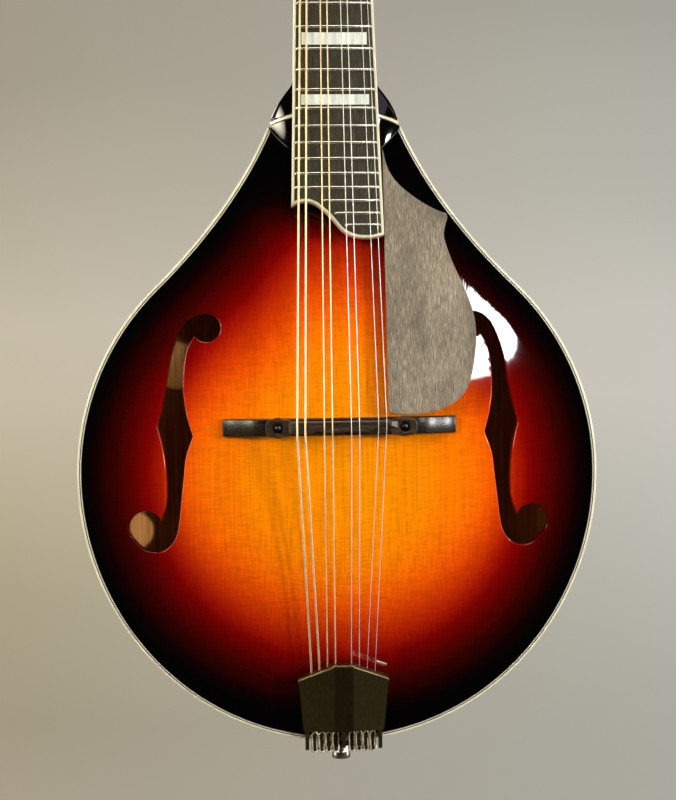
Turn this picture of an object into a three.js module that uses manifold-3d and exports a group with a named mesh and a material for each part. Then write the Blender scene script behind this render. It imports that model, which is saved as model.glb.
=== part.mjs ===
// An acoustic-electric mandolin with a carved teardrop body and f-holes, in millimetres.
// +Z runs up the neck, the front faces -Y, and +X is the side of the thin strings.
// The origin is on the fretboard's face, at the nut's front edge.
import * as THREE from "three";
import { mergeVertices } from "three/addons/utils/BufferGeometryUtils.js";
import Module from "manifold-3d";

const wasm = await Module();
wasm.setup();

// Fits shared by all pieces
const seatGap = 0.3;
const carvedGap = 0.6;
const turningGap = 0.35;
const overrun = 2;
const weldDistance = 1e-3;
const fullTurn = 2 * Math.PI;

// String length, the places of frets and bridge along it, and the neck's tilt against the body
const scaleLength = 352.4;
const fretCount = 23;
const jointFret = 15;
const fretsPerOctave = 12;
const bridgeSetback = 0.8;
const bridgeDrop = scaleLength - bridgeSetback;
const boardPlaneAtBridge = 28.017;
const neckTilt = Math.asin(boardPlaneAtBridge / scaleLength);
const headPitch = THREE.MathUtils.degToRad(14);

function fretPlace(number) {
  return scaleLength * (1 - 2 ** (-number / fretsPerOctave));
}

// Body outline: a round body whose shoulders sweep up to the neck near its fifteenth fret
const bodyRadius = 124.6;
const tailExtra = 4.9;
const shoulderLeave = THREE.MathUtils.degToRad(46);
const jointHalfWidth = 31.5;
const jointSlope = THREE.MathUtils.degToRad(24);
const jointSetback = 0.33;
const bodyEndDrop = fretPlace(jointFret) - jointSetback;
const bodyEndRadius = 89;
const shoulderRise = 46.2;
const bodyCentreDrop = bodyEndDrop + shoulderRise + bodyRadius;
const tailEndDrop = bodyCentreDrop + bodyRadius + tailExtra;

// Carved plates and ribs
const plateEdge = 4.5;
const recurveHeight = 3.6;
const topArch = 16;
const backArch = 14.5;
const archPower = 1.4;
const recurveShare = 0.93;
const plateThickness = 4.4;
const rimDepth = 38;
const ribThickness = 2.2;
const ribInset = 0.4;
const ribEndHalfGap = 16;
const bindingWidth = 2.2;
const liningWidth = 5;
const liningDepth = 11;

// Sound holes
const fHoleWidth = 30;
const fHoleLength = 94.6;
const fHoleFromEdge = 62.4;
const fHoleFromAxis = bodyRadius - fHoleFromEdge;
const fHoleFromBridge = 47;
const fHoleDrop = bridgeDrop - fHoleFromBridge;
const upperEyeRadius = 6.7;
const lowerEyeRadius = 8.1;

// Blocks and bars inside the body
const neckBlockLength = 26;
const tailBlockLength = 21;
const tailBlockHalfWidth = 36;
const barWidth = 6;
const barHeight = 10;
const barTipHeight = 4;
const barFromJoint = 68.1;
const barTopDrop = bodyEndDrop + barFromJoint;
const barFromTail = 36.2;
const barLength = tailEndDrop - barFromTail - barTopDrop;
const barTopFromAxis = 24;
const barTailFromAxis = 34;

// Neck
const nutWidth = 29.2;
const boardEndWidth = 43.2;
const lastFretMargin = 5.84;
const boardLength = fretPlace(fretCount) + lastFretMargin;
const boardThickness = 5;
const neckWoodAtNut = 14.5;
const neckWoodAtHeel = 17.5;
const heelDepth = 48.6;
const heelHalfWidth = 30;
const heelBackHalfWidth = 12.5;
const heelShoulderDrop = 1.7;
const tenonHalfWidth = 9.5;
const tenonTailHalfWidth = 12.5;
const tenonLength = 17;
const riserHalfWidth = 17;
const riserLength = 43;
const stripWidth = 2;
const stripHalfWidth = 30.4;
const platformTop = 9.2;
const platformBottom = 5.3;
const platformRadius = 35.5;
const platformSetback = 10.5;
const platformCentreDrop = bodyEndDrop - platformSetback;
const platformHalfWidth = 31;

// Fretboard fittings
const fretWidth = 1.9;
const fretHeight = 1;
const boardBindingWidth = 1.9;
const boardBindingDrop = 0.3;
const endCurveDepth = 17.2;
const nutLength = 4.5;
const nutRise = 1.4;
const nutSlotWidth = 1.8;
const nutSlotDepth = 0.9;

// Headstock
const headLength = 158;
const headHalfWidth = 30;
const headThickness = 13.5;
const headFaceDrop = 5.3;
const overlayThickness = 2;
const overlayStart = 6.2;
const headStart = 1.3;
const rodRadius = 2.4;
const rodDrop = 11.4;
const rodEndMargin = 8.4;
const rodNutRadius = 3.5;
const rodNutLength = 9;
const rodNutStart = 8.5;
const rodLength = bodyEndDrop - rodEndMargin + rodNutStart;
const rodPocketHalfWidth = 4.6;
const rodPocketEnd = 23;
const coverLength = 36;
const coverHalfWidth = 9.5;
const coverThickness = 2;
const coverStart = 6.5;

// Tuning machines, four on a plate
const tunersPerSide = 4;
const firstPostRise = 40;
const postSpacing = 23;
const postFromAxis = 18;
const postRadius = 3;
const postRise = 10.5;
const postWaistRadius = 2.4;
const postHoleRadius = 0.8;
const postHoleRise = 4.2;
const wormPitch = 2.2;
const wormRadius = 2;
const wormThrow = 0.6;
const wormTurns = 3;
const wormShaftRadius = 1.3;
const gearTeeth = 16;
const gearThickness = 2.4;
const gearClearance = 0.35;
const wormSides = 6;
const holeSides = 8;
const tunerPlateThickness = 1.2;
const tunerPlateWidth = 15.4;
const tunerPlateMargin = 12;
const lugThickness = 1.8;
const lugWidth = 6.4;
const wormRise = 3.2;
const buttonStart = 32;
const buttonLength = 14;
const buttonHalfWidth = 7.2;
const buttonHalfDepth = 3.8;

// Strings: the two courses of wound strings come first
const stringDiameters = { g: 1, d: 0.62, a: 0.4, e: 0.28 };
const nutSpread = 24;
const nutPairGap = 2.6;
const bridgeSpread = 41;
const bridgePairGap = 3.7;
const saddleTop = 31.8;
const stringRiseAtNut = 0.7;
const windingTurns = 2;
const windingGap = 0.45;

// Bridge
const baseHalfLength = 55;
const baseWidth = 8.2;
const baseTop = 21.4;
const baseTipHeight = 3.4;
const bridgePostFromAxis = 29.2;
const bridgePostRadius = 1.6;
const bridgePostTop = 29.2;
const saddleHalfLength = 34.9;
const saddlePadLength = 12.4;
const saddlePadWidth = 8;
const saddlePadTop = 30.4;
const saddleBottom = 25.8;
const saddleBeamTop = 30.6;
const saddleCrestWidth = 3.4;
const compensations = { g: 2.2, d: 0.4, a: 1.6, e: -1.6 };
const wheelRadius = 4.9;
const wheelThickness = 2.5;
const wheelTeeth = 18;
const saddleTravel = 1.2;
const saddleHoleGrowth = 0.3;

// Pickguard
const guardLength = 124.6;
const guardBridgeGap = 0.5;
const guardEndDrop = bridgeDrop - baseWidth / 2 - guardBridgeGap;
const guardStart = guardEndDrop - guardLength;
const guardWidth = 42.1;
const guardFromAxis = 21.8;
const guardThickness = 2.4;
const guardFaceDrop = 3.2;
const guardPostRadius = 4;
const guardPostFromAxis = 47;
const guardPostFromEnd = 25;
const guardPostDrop = guardEndDrop - guardPostFromEnd;

// Tailpiece
const tailCoverFrontFromEnd = 40;
const tailCoverRearFromEnd = 7;
const tailCoverFront = tailEndDrop - tailCoverFrontFromEnd;
const tailCoverRear = tailEndDrop - tailCoverRearFromEnd;
const tailFrontHalfWidth = 21.4;
const tailRearHalfWidth = 19.2;
const tailRidgeHalfWidth = 4.6;
const tailFrontSweep = 6.6;
const tailFrontHeight = 18.4;
const tailRearHeight = 13.6;
const tailEdgeFall = 2.6;
const tailThickness = 1.8;
const tailLipDepth = 9.4;
const tailHoleDrop = 3.4;
const tailLipLength = 3.2;
const tailHoleRadius = 1.3;
const hookSpacing = 3.35;
const hookFirst = 3.9;
const hookWidth = 1.4;
const hookOverhang = 2.6;
const hookEnd = tailEndDrop + hookOverhang;
const hookTop = 7.2;
const hookTipRise = 3.2;
const hookThickness = 1.9;
const cheekThickness = 1.8;
const loopWireRadius = 0.19;
const loopHeight = 8.5;
const tongueHalf = 1.5;
const entryFirst = 3.75;
const entrySpacing = 3.8;
const bracketThickness = 1.6;
const bracketTopHalfWidth = 10;
const bracketFootHalfWidth = 8.4;
const bracketFoot = 27;

// End-pin jack and pickups
const jackHeight = -18.5;
const jackThreadRadius = 4.7;
const jackBodyRadius = 6.2;
const jackBodyLength = 14;
const jackBoreRadius = 3.3;
const jackBoreLength = 33;
const strapButtonRadius = 4.7;
const strapGrooveRadius = 4.1;
const strapButtonLength = 11;
const strapWasherRadius = 5.9;
const strapWasherThickness = 1.2;
const pickupRadius = 9;
const pickupThickness = 1.2;
const pickupFromAxis = 12;
const leadRadius = 1.1;

// Finishes
const finishes = {
  sunburst: { color: 0xc8501a, roughness: 0.12, metalness: 0 },
  spruce: { color: 0xd9b37a, roughness: 0.75, metalness: 0 },
  maple: { color: 0x5a1f0c, roughness: 0.15, metalness: 0 },
  blackLacquer: { color: 0x0a0806, roughness: 0.08, metalness: 0 },
  ebony: { color: 0x2a2420, roughness: 0.5, metalness: 0 },
  cream: { color: 0xe9dfb8, roughness: 0.35, metalness: 0 },
  bone: { color: 0xede6d2, roughness: 0.4, metalness: 0 },
  bronze: { color: 0xb08a55, roughness: 0.35, metalness: 1 },
  steel: { color: 0xb8b8b8, roughness: 0.3, metalness: 1 },
  pewter: { color: 0x3a3224, roughness: 0.45, metalness: 1 },
  nickel: { color: 0xc9c4b4, roughness: 0.25, metalness: 1 },
  brass: { color: 0xb4945a, roughness: 0.4, metalness: 1 },
  cable: { color: 0x151515, roughness: 0.6, metalness: 0 },
};

const root = new THREE.Group();
const neckGroup = new THREE.Group();
neckGroup.rotation.x = -neckTilt;
root.add(neckGroup);
const headGroup = new THREE.Group();
headGroup.rotation.x = -headPitch;
neckGroup.add(headGroup);

function addPiece(parent, name, geometry, finish) {
  const mesh = new THREE.Mesh(geometry, new THREE.MeshStandardMaterial(finishes[finish]));
  mesh.name = name;
  parent.add(mesh);
  return mesh;
}

// Height is measured forward from the rim's front edge, so it runs along -Y.
function place(x, z, height) {
  return new THREE.Vector3(x, -height, z);
}

// Corner coordinates and triangles become a closed geometry whose faces point outwards.
function closedGeometry(corners, triangles) {
  const geometry = new THREE.BufferGeometry().setFromPoints(corners);
  const [a, b, c] = [new THREE.Vector3(), new THREE.Vector3(), new THREE.Vector3()];
  let volume = 0;
  for (const [i, j, k] of triangles) {
    a.copy(corners[i]);
    b.copy(corners[j]);
    c.copy(corners[k]);
    volume += a.dot(b.cross(c));
  }
  const outward = volume < 0 ? triangles.map(([i, j, k]) => [i, k, j]) : triangles;
  geometry.setIndex(outward.flat());
  return geometry;
}

// A skin through rings of equally many points, capped at both ends or joined end to start.
function loft(rings, endless = false) {
  const count = rings[0].length;
  const corners = rings.flat();
  const triangles = [];
  const last = endless ? rings.length : rings.length - 1;
  for (let r = 0; r < last; r++) {
    const here = r * count;
    const next = ((r + 1) % rings.length) * count;
    for (let i = 0; i < count; i++) {
      const j = (i + 1) % count;
      triangles.push([here + i, here + j, next + j], [here + i, next + j, next + i]);
    }
  }
  if (!endless) {
    const first = capTriangles(rings[0]);
    const end = capTriangles(rings.at(-1));
    const offset = (rings.length - 1) * count;
    triangles.push(...first.map(([i, j, k]) => [i, k, j]));
    triangles.push(...end.map(([i, j, k]) => [offset + i, offset + j, offset + k]));
  }
  return closedGeometry(corners, triangles);
}

// Triangles across a flat ring, wound as the ring is.
function capTriangles(ring) {
  const normal = new THREE.Vector3();
  ring.forEach((point, i) => {
    const next = ring[(i + 1) % ring.length];
    normal.add(new THREE.Vector3().crossVectors(point, next));
  });
  normal.normalize();
  const turn = new THREE.Quaternion().setFromUnitVectors(normal, new THREE.Vector3(0, 0, 1));
  const flat = ring.map((point) => {
    const turned = point.clone().applyQuaternion(turn);
    return new THREE.Vector2(turned.x, turned.y);
  });
  return THREE.ShapeUtils.triangulateShape(flat, []);
}

function toSolid(geometry) {
  const plain = geometry.index ? geometry.toNonIndexed() : geometry.clone();
  plain.deleteAttribute("normal");
  plain.deleteAttribute("uv");
  const merged = mergeVertices(plain, weldDistance);
  return new wasm.Manifold(
    new wasm.Mesh({
      numProp: 3,
      vertProperties: merged.attributes.position.array,
      triVerts: new Uint32Array(merged.index.array),
    }),
  );
}

function toGeometry(solid) {
  const mesh = solid.getMesh();
  return new THREE.BufferGeometry()
    .setAttribute("position", new THREE.BufferAttribute(mesh.vertProperties, 3))
    .setIndex(new THREE.BufferAttribute(mesh.triVerts, 1));
}

// One piece from a first geometry, others joined to it and others cut from it.
function build(first, joins, cuts = []) {
  let solid = toSolid(first);
  for (const geometry of joins) solid = solid.add(toSolid(geometry));
  for (const geometry of cuts) solid = solid.subtract(toSolid(geometry));
  return toGeometry(solid);
}

function overlapOf(first, second) {
  return toGeometry(toSolid(first).intersect(toSolid(second)));
}

// A block between two opposite corners, given as x, z and height ranges.
function block([x0, x1], [z0, z1], [low, high]) {
  const geometry = new THREE.BoxGeometry(x1 - x0, high - low, z1 - z0);
  return geometry.translate((x0 + x1) / 2, -(low + high) / 2, (z0 + z1) / 2);
}

// A flat outline in x and z, given thickness between two heights.
function slab(points, low, high) {
  const geometry = new THREE.ExtrudeGeometry(new THREE.Shape(points), {
    depth: high - low,
    bevelEnabled: false,
  });
  return geometry.rotateX(Math.PI / 2).translate(0, -low, 0);
}

function disc(x, z, radius, low, high, segments) {
  const geometry = new THREE.CylinderGeometry(radius, radius, high - low, segments);
  return geometry.translate(x, -(low + high) / 2, z);
}

// A round bar from one point to another.
function bar(from, to, radius, segments) {
  const along = new THREE.Vector3().subVectors(to, from);
  const geometry = new THREE.CylinderGeometry(radius, radius, along.length(), segments);
  const turn = new THREE.Quaternion().setFromUnitVectors(
    new THREE.Vector3(0, 1, 0),
    along.clone().normalize(),
  );
  const middle = new THREE.Vector3().addVectors(from, to).multiplyScalar(1 / 2);
  return geometry.applyQuaternion(turn).translate(middle.x, middle.y, middle.z);
}

// A tube through given points, its sides kept parallel from one point to the next.
function tube(points, radii, sides) {
  let across = null;
  const rings = points.map((point, i) => {
    const before = points[Math.max(i - 1, 0)];
    const after = points[Math.min(i + 1, points.length - 1)];
    const along = new THREE.Vector3().subVectors(after, before).normalize();
    if (!across) across = new THREE.Vector3(1, 0, 0);
    across = across.clone().addScaledVector(along, -across.dot(along)).normalize();
    const up = new THREE.Vector3().crossVectors(along, across);
    const radius = Array.isArray(radii) ? radii[i] : radii;
    return Array.from({ length: sides }, (_, k) => {
      const angle = (fullTurn * k) / sides;
      return point
        .clone()
        .addScaledVector(across, radius * Math.cos(angle))
        .addScaledVector(up, radius * Math.sin(angle));
    });
  });
  return loft(rings);
}

// The outline of the body, from the joint's crown round the treble side and back.
const shoulderSteps = 7;
const roundSteps = 17;
const endCurveShares = [0, 0.4, 0.75, 1];

function bodyEndAt(x) {
  return -bodyEndDrop - bodyEndRadius + Math.sqrt(bodyEndRadius ** 2 - x ** 2);
}

function bodyOutline() {
  const half = endCurveShares.map((share) => {
    const x = share * jointHalfWidth;
    return new THREE.Vector2(x, bodyEndAt(x));
  });
  const corner = half.at(-1);
  const leave = new THREE.Vector2(
    bodyRadius * Math.cos(shoulderLeave),
    bodyRadius * Math.sin(shoulderLeave) - bodyCentreDrop,
  );
  const roundSlope = new THREE.Vector2(-Math.sin(shoulderLeave), Math.cos(shoulderLeave));
  const cornerSlope = new THREE.Vector2(Math.sin(jointSlope), -Math.cos(jointSlope));
  const apart = new THREE.Vector2().subVectors(corner, leave);
  const reach = apart.cross(cornerSlope) / roundSlope.cross(cornerSlope);
  const control = leave.clone().addScaledVector(roundSlope, reach);
  const shoulder = new THREE.QuadraticBezierCurve(corner, control, leave);
  half.push(...shoulder.getPoints(shoulderSteps).slice(1));
  for (let i = 1; i <= roundSteps; i++) {
    const angle = shoulderLeave - ((shoulderLeave + Math.PI / 2) * i) / roundSteps;
    const tall = angle < 0 ? bodyRadius + tailExtra : bodyRadius;
    const z = tall * Math.sin(angle) - bodyCentreDrop;
    half.push(new THREE.Vector2(bodyRadius * Math.cos(angle), z));
  }
  const mirrored = half.slice(1, -1).map((point) => new THREE.Vector2(-point.x, point.y));
  return [...half, ...mirrored.reverse()];
}

// The same outline drawn inwards, point for point.
function inset(points, distance) {
  return points.map((point, i) => {
    const before = points.at(i - 1);
    const after = points[(i + 1) % points.length];
    const arriving = new THREE.Vector2().subVectors(point, before).normalize();
    const leaving = new THREE.Vector2().subVectors(after, point).normalize();
    const inward = new THREE.Vector2(arriving.y + leaving.y, -arriving.x - leaving.x);
    inward.normalize();
    const across = new THREE.Vector2(arriving.y, -arriving.x);
    return point.clone().addScaledVector(inward, distance / inward.dot(across));
  });
}

const outline = bodyOutline();
const bodyCentre = new THREE.Vector2(0, -bodyCentreDrop);
const plateInset = bindingWidth + seatGap;
const plateOutline = inset(outline, plateInset);

// How far a place lies between the body's centre and the plate's edge, from 0 to 1.
function shareAt(x, z) {
  const ray = new THREE.Vector2(x, z).sub(bodyCentre);
  const length = ray.length();
  if (length < weldDistance) return 0;
  for (let i = 0; i < plateOutline.length; i++) {
    const start = plateOutline[i].clone().sub(bodyCentre);
    const end = plateOutline[(i + 1) % plateOutline.length].clone().sub(bodyCentre);
    const side = new THREE.Vector2().subVectors(end, start);
    const turn = ray.cross(side);
    const along = start.cross(side) / turn;
    const across = start.cross(ray) / turn;
    if (along > 0 && across >= 0 && across <= 1) return 1 / along;
  }
  return 1;
}

// The plate's outer face rises from a low recurve near the edge to the arch.
function outerHeight(share, arch) {
  if (share >= recurveShare) {
    const lip = (share - recurveShare) / (1 - recurveShare);
    return recurveHeight + (plateEdge - recurveHeight) * lip;
  }
  const dome = (1 - (share / recurveShare) ** 2) ** archPower;
  return recurveHeight + (arch - recurveHeight) * dome;
}

function innerHeight(share, arch) {
  if (share >= recurveShare) return 0;
  return Math.max(0, outerHeight(share, arch) - plateThickness);
}

function topHeight(x, z) {
  return outerHeight(shareAt(x, z), topArch);
}

function underTop(x, z) {
  return innerHeight(shareAt(x, z), topArch);
}

// Ring by ring from edge to centre, on the outer face and then on the inner one.
const plateRingShares = [1, recurveShare, 0.82, 0.65, 0.45, 0.22];

function carvedPlate(arch, facing, level) {
  const corners = [];
  const count = plateOutline.length;
  const faces = [outerHeight, innerHeight];
  for (const heightOf of faces) {
    for (const share of plateRingShares) {
      for (const point of plateOutline) {
        const spot = bodyCentre.clone().lerp(point, share);
        corners.push(place(spot.x, spot.y, level + facing * heightOf(share, arch)));
      }
    }
    corners.push(place(bodyCentre.x, bodyCentre.y, level + facing * heightOf(0, arch)));
  }
  const triangles = [];
  const perFace = plateRingShares.length * count + 1;
  faces.forEach((_, face) => {
    const start = face * perFace;
    const wind = (a, b, c) => triangles.push(face ? [a, c, b] : [a, b, c]);
    for (let r = 0; r < plateRingShares.length; r++) {
      for (let i = 0; i < count; i++) {
        const here = start + r * count + i;
        const beside = start + r * count + ((i + 1) % count);
        if (r + 1 < plateRingShares.length) {
          wind(here, beside, beside + count);
          wind(here, beside + count, here + count);
        } else wind(here, beside, start + perFace - 1);
      }
    }
  });
  for (let i = 0; i < count; i++) {
    const j = (i + 1) % count;
    triangles.push([j, i, perFace + i], [j, perFace + i, perFace + j]);
  }
  return closedGeometry(corners, triangles);
}

// Stroke of the sound hole with its two nicks, as shares of its width and length.
const fStrokeShares = [
  [0, -0.071], [0.223, -0.055], [0.38, -0.006], [0.493, 0.073], [0.577, 0.168],
  [0.633, 0.274], [0.713, 0.395], [0.793, 0.49], [0.713, 0.591], [0.673, 0.691],
  [0.66, 0.797], [0.673, 0.876], [0.72, 0.951], [1, 1], [0.877, 1.088],
  [0.753, 1.088], [0.6, 1.045], [0.493, 0.966], [0.437, 0.866], [0.39, 0.744],
  [0.347, 0.638], [0.233, 0.54], [0.307, 0.464], [0.357, 0.385], [0.38, 0.29],
  [0.367, 0.189], [0.313, 0.105], [0.23, 0.041], [0, 0],
];
const eyeSegments = 14;

function fHoleCutters(side) {
  const stroke = fStrokeShares.map(
    ([u, v]) =>
      new THREE.Vector2(side * (fHoleFromAxis + u * fHoleWidth), -fHoleDrop - v * fHoleLength),
  );
  const lowerX = side * (fHoleFromAxis + fHoleWidth);
  const lowerZ = -fHoleDrop - fHoleLength;
  const top = topArch + overrun;
  return [
    slab(stroke, -overrun, top),
    disc(side * fHoleFromAxis, -fHoleDrop, upperEyeRadius, -overrun, top, eyeSegments),
    disc(lowerX, lowerZ, lowerEyeRadius, -overrun, top, eyeSegments),
  ];
}

// Places on the neck: down from the nut along the board, and down from the board's face.
function onNeck(x, along, below) {
  return new THREE.Vector3(x, below, -along);
}

function neckToBody(point) {
  return point.clone().applyAxisAngle(new THREE.Vector3(1, 0, 0), -neckTilt);
}

function bodyToNeck(geometry) {
  return geometry.rotateX(neckTilt);
}

function boardHalfWidth(along) {
  return (nutWidth + ((boardEndWidth - nutWidth) * along) / boardLength) / 2;
}

// The board's face stands this high over the rim at a distance down from the nut.
function boardHeight(along, below = 0) {
  return along * Math.sin(neckTilt) - below * Math.cos(neckTilt);
}

const tenonPlan = [
  new THREE.Vector2(-tenonHalfWidth, -bodyEndDrop + overrun),
  new THREE.Vector2(tenonHalfWidth, -bodyEndDrop + overrun),
  new THREE.Vector2(tenonTailHalfWidth, -bodyEndDrop - tenonLength),
  new THREE.Vector2(-tenonTailHalfWidth, -bodyEndDrop - tenonLength),
];

const tailEnd = -tailEndDrop;

// The hole for the end pin, through ribs, tail block and tailpiece foot.
function endPinHole(radius) {
  return bar(
    place(0, tailEnd - 2 * overrun, jackHeight),
    place(0, tailEnd + tailBlockLength + 2 * overrun, jackHeight),
    radius,
    14,
  );
}

function makeBody() {
  const mortise = slab(inset(tenonPlan, -seatGap), -rimDepth - overrun, topArch);
  const top = build(carvedPlate(topArch, 1, 0), [], [
    ...fHoleCutters(1),
    ...fHoleCutters(-1),
    mortise,
  ]);
  addPiece(root, "top_plate", top, "sunburst");

  const backLevel = -rimDepth - seatGap;
  const buttonTop = -bodyEndDrop + heelBackHalfWidth - overrun;
  const button = disc(
    0,
    buttonTop - heelBackHalfWidth,
    heelBackHalfWidth,
    backLevel - plateEdge,
    backLevel,
    24,
  );
  addPiece(root, "back_plate", build(carvedPlate(backArch, -1, backLevel), [button]), "maple");

  const ribOuter = inset(outline, ribInset);
  const ribInner = inset(outline, ribInset + ribThickness);
  for (const [name, side] of [["rim_treble", 1], ["rim_bass", -1]]) {
    const rings = outline.map((_, i) => [
      place(ribOuter[i].x, ribOuter[i].y, -seatGap),
      place(ribOuter[i].x, ribOuter[i].y, -rimDepth),
      place(ribInner[i].x, ribInner[i].y, -rimDepth),
      place(ribInner[i].x, ribInner[i].y, -seatGap),
    ]);
    const reach = bodyRadius + overrun;
    const span = [-bodyCentreDrop - reach - tailExtra, -bodyCentreDrop + 2 * reach];
    const away = side > 0 ? [-reach, seatGap / 2] : [-seatGap / 2, reach];
    const other = block(away, span, [-rimDepth - overrun, overrun]);
    const gapEdges = [-ribEndHalfGap, ribEndHalfGap];
    const gapSpan = [-bodyEndDrop - neckBlockLength, span[1]];
    const gap = block(gapEdges, gapSpan, [-rimDepth - overrun, overrun]);
    const pinHole = endPinHole(jackThreadRadius + seatGap);
    addPiece(root, name, build(loft(rings, true), [], [other, gap, pinHole]), "maple");
  }

  for (const [name, low, high] of [
    ["top_binding", seatGap / 2, plateEdge],
    ["back_binding", backLevel - plateEdge, backLevel],
  ]) {
    const inner = inset(outline, bindingWidth);
    const rings = outline.map((point, i) => [
      place(point.x, point.y, low),
      place(point.x, point.y, high),
      place(inner[i].x, inner[i].y, high),
      place(inner[i].x, inner[i].y, low),
    ]);
    const keyhole = block(
      [-heelBackHalfWidth - seatGap, heelBackHalfWidth + seatGap],
      [-bodyEndDrop - neckBlockLength, -bodyEndDrop + neckBlockLength],
      [backLevel - plateEdge - overrun, backLevel + overrun],
    );
    const cuts = name === "top_binding" ? [mortise] : [keyhole];
    addPiece(root, name, build(loft(rings, true), [], cuts), "cream");
  }
  return mortise;
}

// Kerfed linings run inside the ribs and give the plates their gluing ledge.
function liningRing(level, facing, grow) {
  const outer = inset(outline, ribInset + ribThickness + seatGap - grow);
  const inner = inset(outline, ribInset + ribThickness + seatGap + liningWidth + grow);
  return loft(
    outline.map((_, i) => [
      place(outer[i].x, outer[i].y, level + facing * grow),
      place(inner[i].x, inner[i].y, level + facing * grow),
      place(inner[i].x, inner[i].y, level - facing * (liningDepth / 3 + 3 * grow)),
      place(outer[i].x, outer[i].y, level - facing * (liningDepth + 3 * grow)),
    ]),
    true,
  );
}

function makeInsides(mortise) {
  const topLevel = -seatGap;
  const backLevel = -rimDepth;
  const neckBlockEnd = -bodyEndDrop - neckBlockLength;
  const neckEnd = [
    [-bodyRadius, bodyRadius],
    [neckBlockEnd - seatGap, 0],
    [-rimDepth - overrun, overrun],
  ];
  for (const [name, level, facing] of [["top_lining", topLevel, 1], ["back_lining", backLevel, -1]]) {
    const lining = build(liningRing(level, facing, 0), [], [block(...neckEnd)]);
    addPiece(root, name, lining, "spruce");
  }

  const inside = slab(inset(outline, ribInset + ribThickness + seatGap), -rimDepth, -seatGap);
  const neckSpan = [neckBlockEnd, -bodyEndDrop];
  const neckBlock = overlapOf(
    inside,
    block([-jointHalfWidth, jointHalfWidth], neckSpan, [-rimDepth, -seatGap]),
  );
  addPiece(root, "neck_block", build(neckBlock, [], [mortise]), "maple");

  const tailSpan = [tailEnd, tailEnd + tailBlockLength];
  const tailBlock = overlapOf(
    inside,
    block([-tailBlockHalfWidth, tailBlockHalfWidth], tailSpan, [-rimDepth, -seatGap]),
  );
  const threadHole = endPinHole(jackThreadRadius + seatGap);
  const notches = [liningRing(topLevel, 1, seatGap), liningRing(backLevel, -1, seatGap)];
  addPiece(root, "tail_block", build(tailBlock, [], [...notches, threadHole]), "maple");

  // Two tone bars run down the underside of the top, wider apart towards the tail.
  const barShares = [0, 0.12, 0.3, 0.5, 0.7, 0.88, 1];
  for (const [name, side] of [["tone_bar_treble", 1], ["tone_bar_bass", -1]]) {
    const rings = barShares.map((share) => {
      const x = side * (barTopFromAxis + (barTailFromAxis - barTopFromAxis) * share);
      const z = -barTopDrop - barLength * share;
      const roof = underTop(x, z) - carvedGap;
      const tall = barTipHeight + (barHeight - barTipHeight) * Math.sin(Math.PI * share);
      const [left, right] = [x - barWidth / 2, x + barWidth / 2];
      const ridge = roof - tall;
      return [place(left, z, roof), place(right, z, roof), place(right, z, ridge), place(left, z, ridge)];
    });
    addPiece(root, name, loft(rings), "spruce");
  }
}

// The heel flares out to meet the shoulders and grows down to the back plate.
// Shares of the way: along the neck, depth of wood, flare at the face, width at the back.
const heelLength = 36;
const heelTrim = 2.1;
const heelEndAlong = bodyEndDrop + heelTrim;
const heelTopAlong = heelEndAlong - heelLength;
const heelShares = [
  { along: 0, depth: 0, flare: 0, back: 1 },
  { along: 0.36, depth: 0.2, flare: 0, back: 0.9 },
  { along: 0.56, depth: 0.48, flare: 0.04, back: 0.84 },
  { along: 0.7, depth: 0.74, flare: 0.36, back: 0.88 },
  { along: 0.82, depth: 0.9, flare: 0.66, back: 0.94 },
  { along: 0.92, depth: 0.97, flare: 0.86, back: 1 },
  { along: 1, depth: 1, flare: 1, back: 1 },
];
const neckWoodTop = boardThickness + seatGap;

// The neck's round: shares of the way out from its back's width, and of its depth.
const neckRoundShares = [[0.94, 0.4], [0.5, 0.78], [0, 0.93]];

function neckSection(along, depth, flareHalf, backHalf) {
  const half = boardHalfWidth(along) - seatGap;
  const shoulder = neckWoodTop + heelShoulderDrop;
  const left = [
    onNeck(-half, along, neckWoodTop),
    onNeck(-half, along, shoulder),
    onNeck(-flareHalf, along, shoulder + heelShoulderDrop / 2),
    ...neckRoundShares.map(([side, down]) =>
      onNeck(-(backHalf + (flareHalf - backHalf) * side), along, neckWoodTop + depth * down),
    ),
    onNeck(-backHalf / 2, along, neckWoodTop + depth),
  ];
  const right = left.map((point) => new THREE.Vector3(-point.x, point.y, point.z));
  return [...left, ...right.reverse()];
}

function neckShaft() {
  const rings = [];
  const shaftShares = [-nutLength / heelTopAlong, 0.3, 0.65];
  for (const share of shaftShares) {
    const along = share * heelTopAlong;
    const half = boardHalfWidth(along) - seatGap;
    const depth = neckWoodAtNut + (neckWoodAtHeel - neckWoodAtNut) * Math.max(0, share);
    rings.push(neckSection(along, depth, half, half / 2));
  }
  for (const share of heelShares) {
    const along = heelTopAlong + (heelEndAlong - heelTopAlong) * share.along;
    const half = boardHalfWidth(along) - seatGap;
    const depth = neckWoodAtHeel + (heelDepth - neckWoodAtHeel) * share.depth;
    const flare = half + (heelHalfWidth - half) * share.flare;
    const back = (half / 2) * (1 - share.depth) + heelBackHalfWidth * share.back * share.depth;
    rings.push(neckSection(along, depth, flare, back));
  }
  return loft(rings);
}

// An arched strip of the body's end, between two distances from the joint.
function endArch(before, after, halfWidth, low, high) {
  const steps = 8;
  const points = [];
  for (let i = 0; i <= steps; i++) {
    const x = THREE.MathUtils.lerp(-halfWidth, halfWidth, i / steps);
    points.push(new THREE.Vector2(x, bodyEndAt(x) + before));
  }
  for (let i = steps; i >= 0; i--) {
    const x = THREE.MathUtils.lerp(-halfWidth, halfWidth, i / steps);
    points.push(new THREE.Vector2(x, bodyEndAt(x) + after));
  }
  return slab(points, low, high);
}

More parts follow.
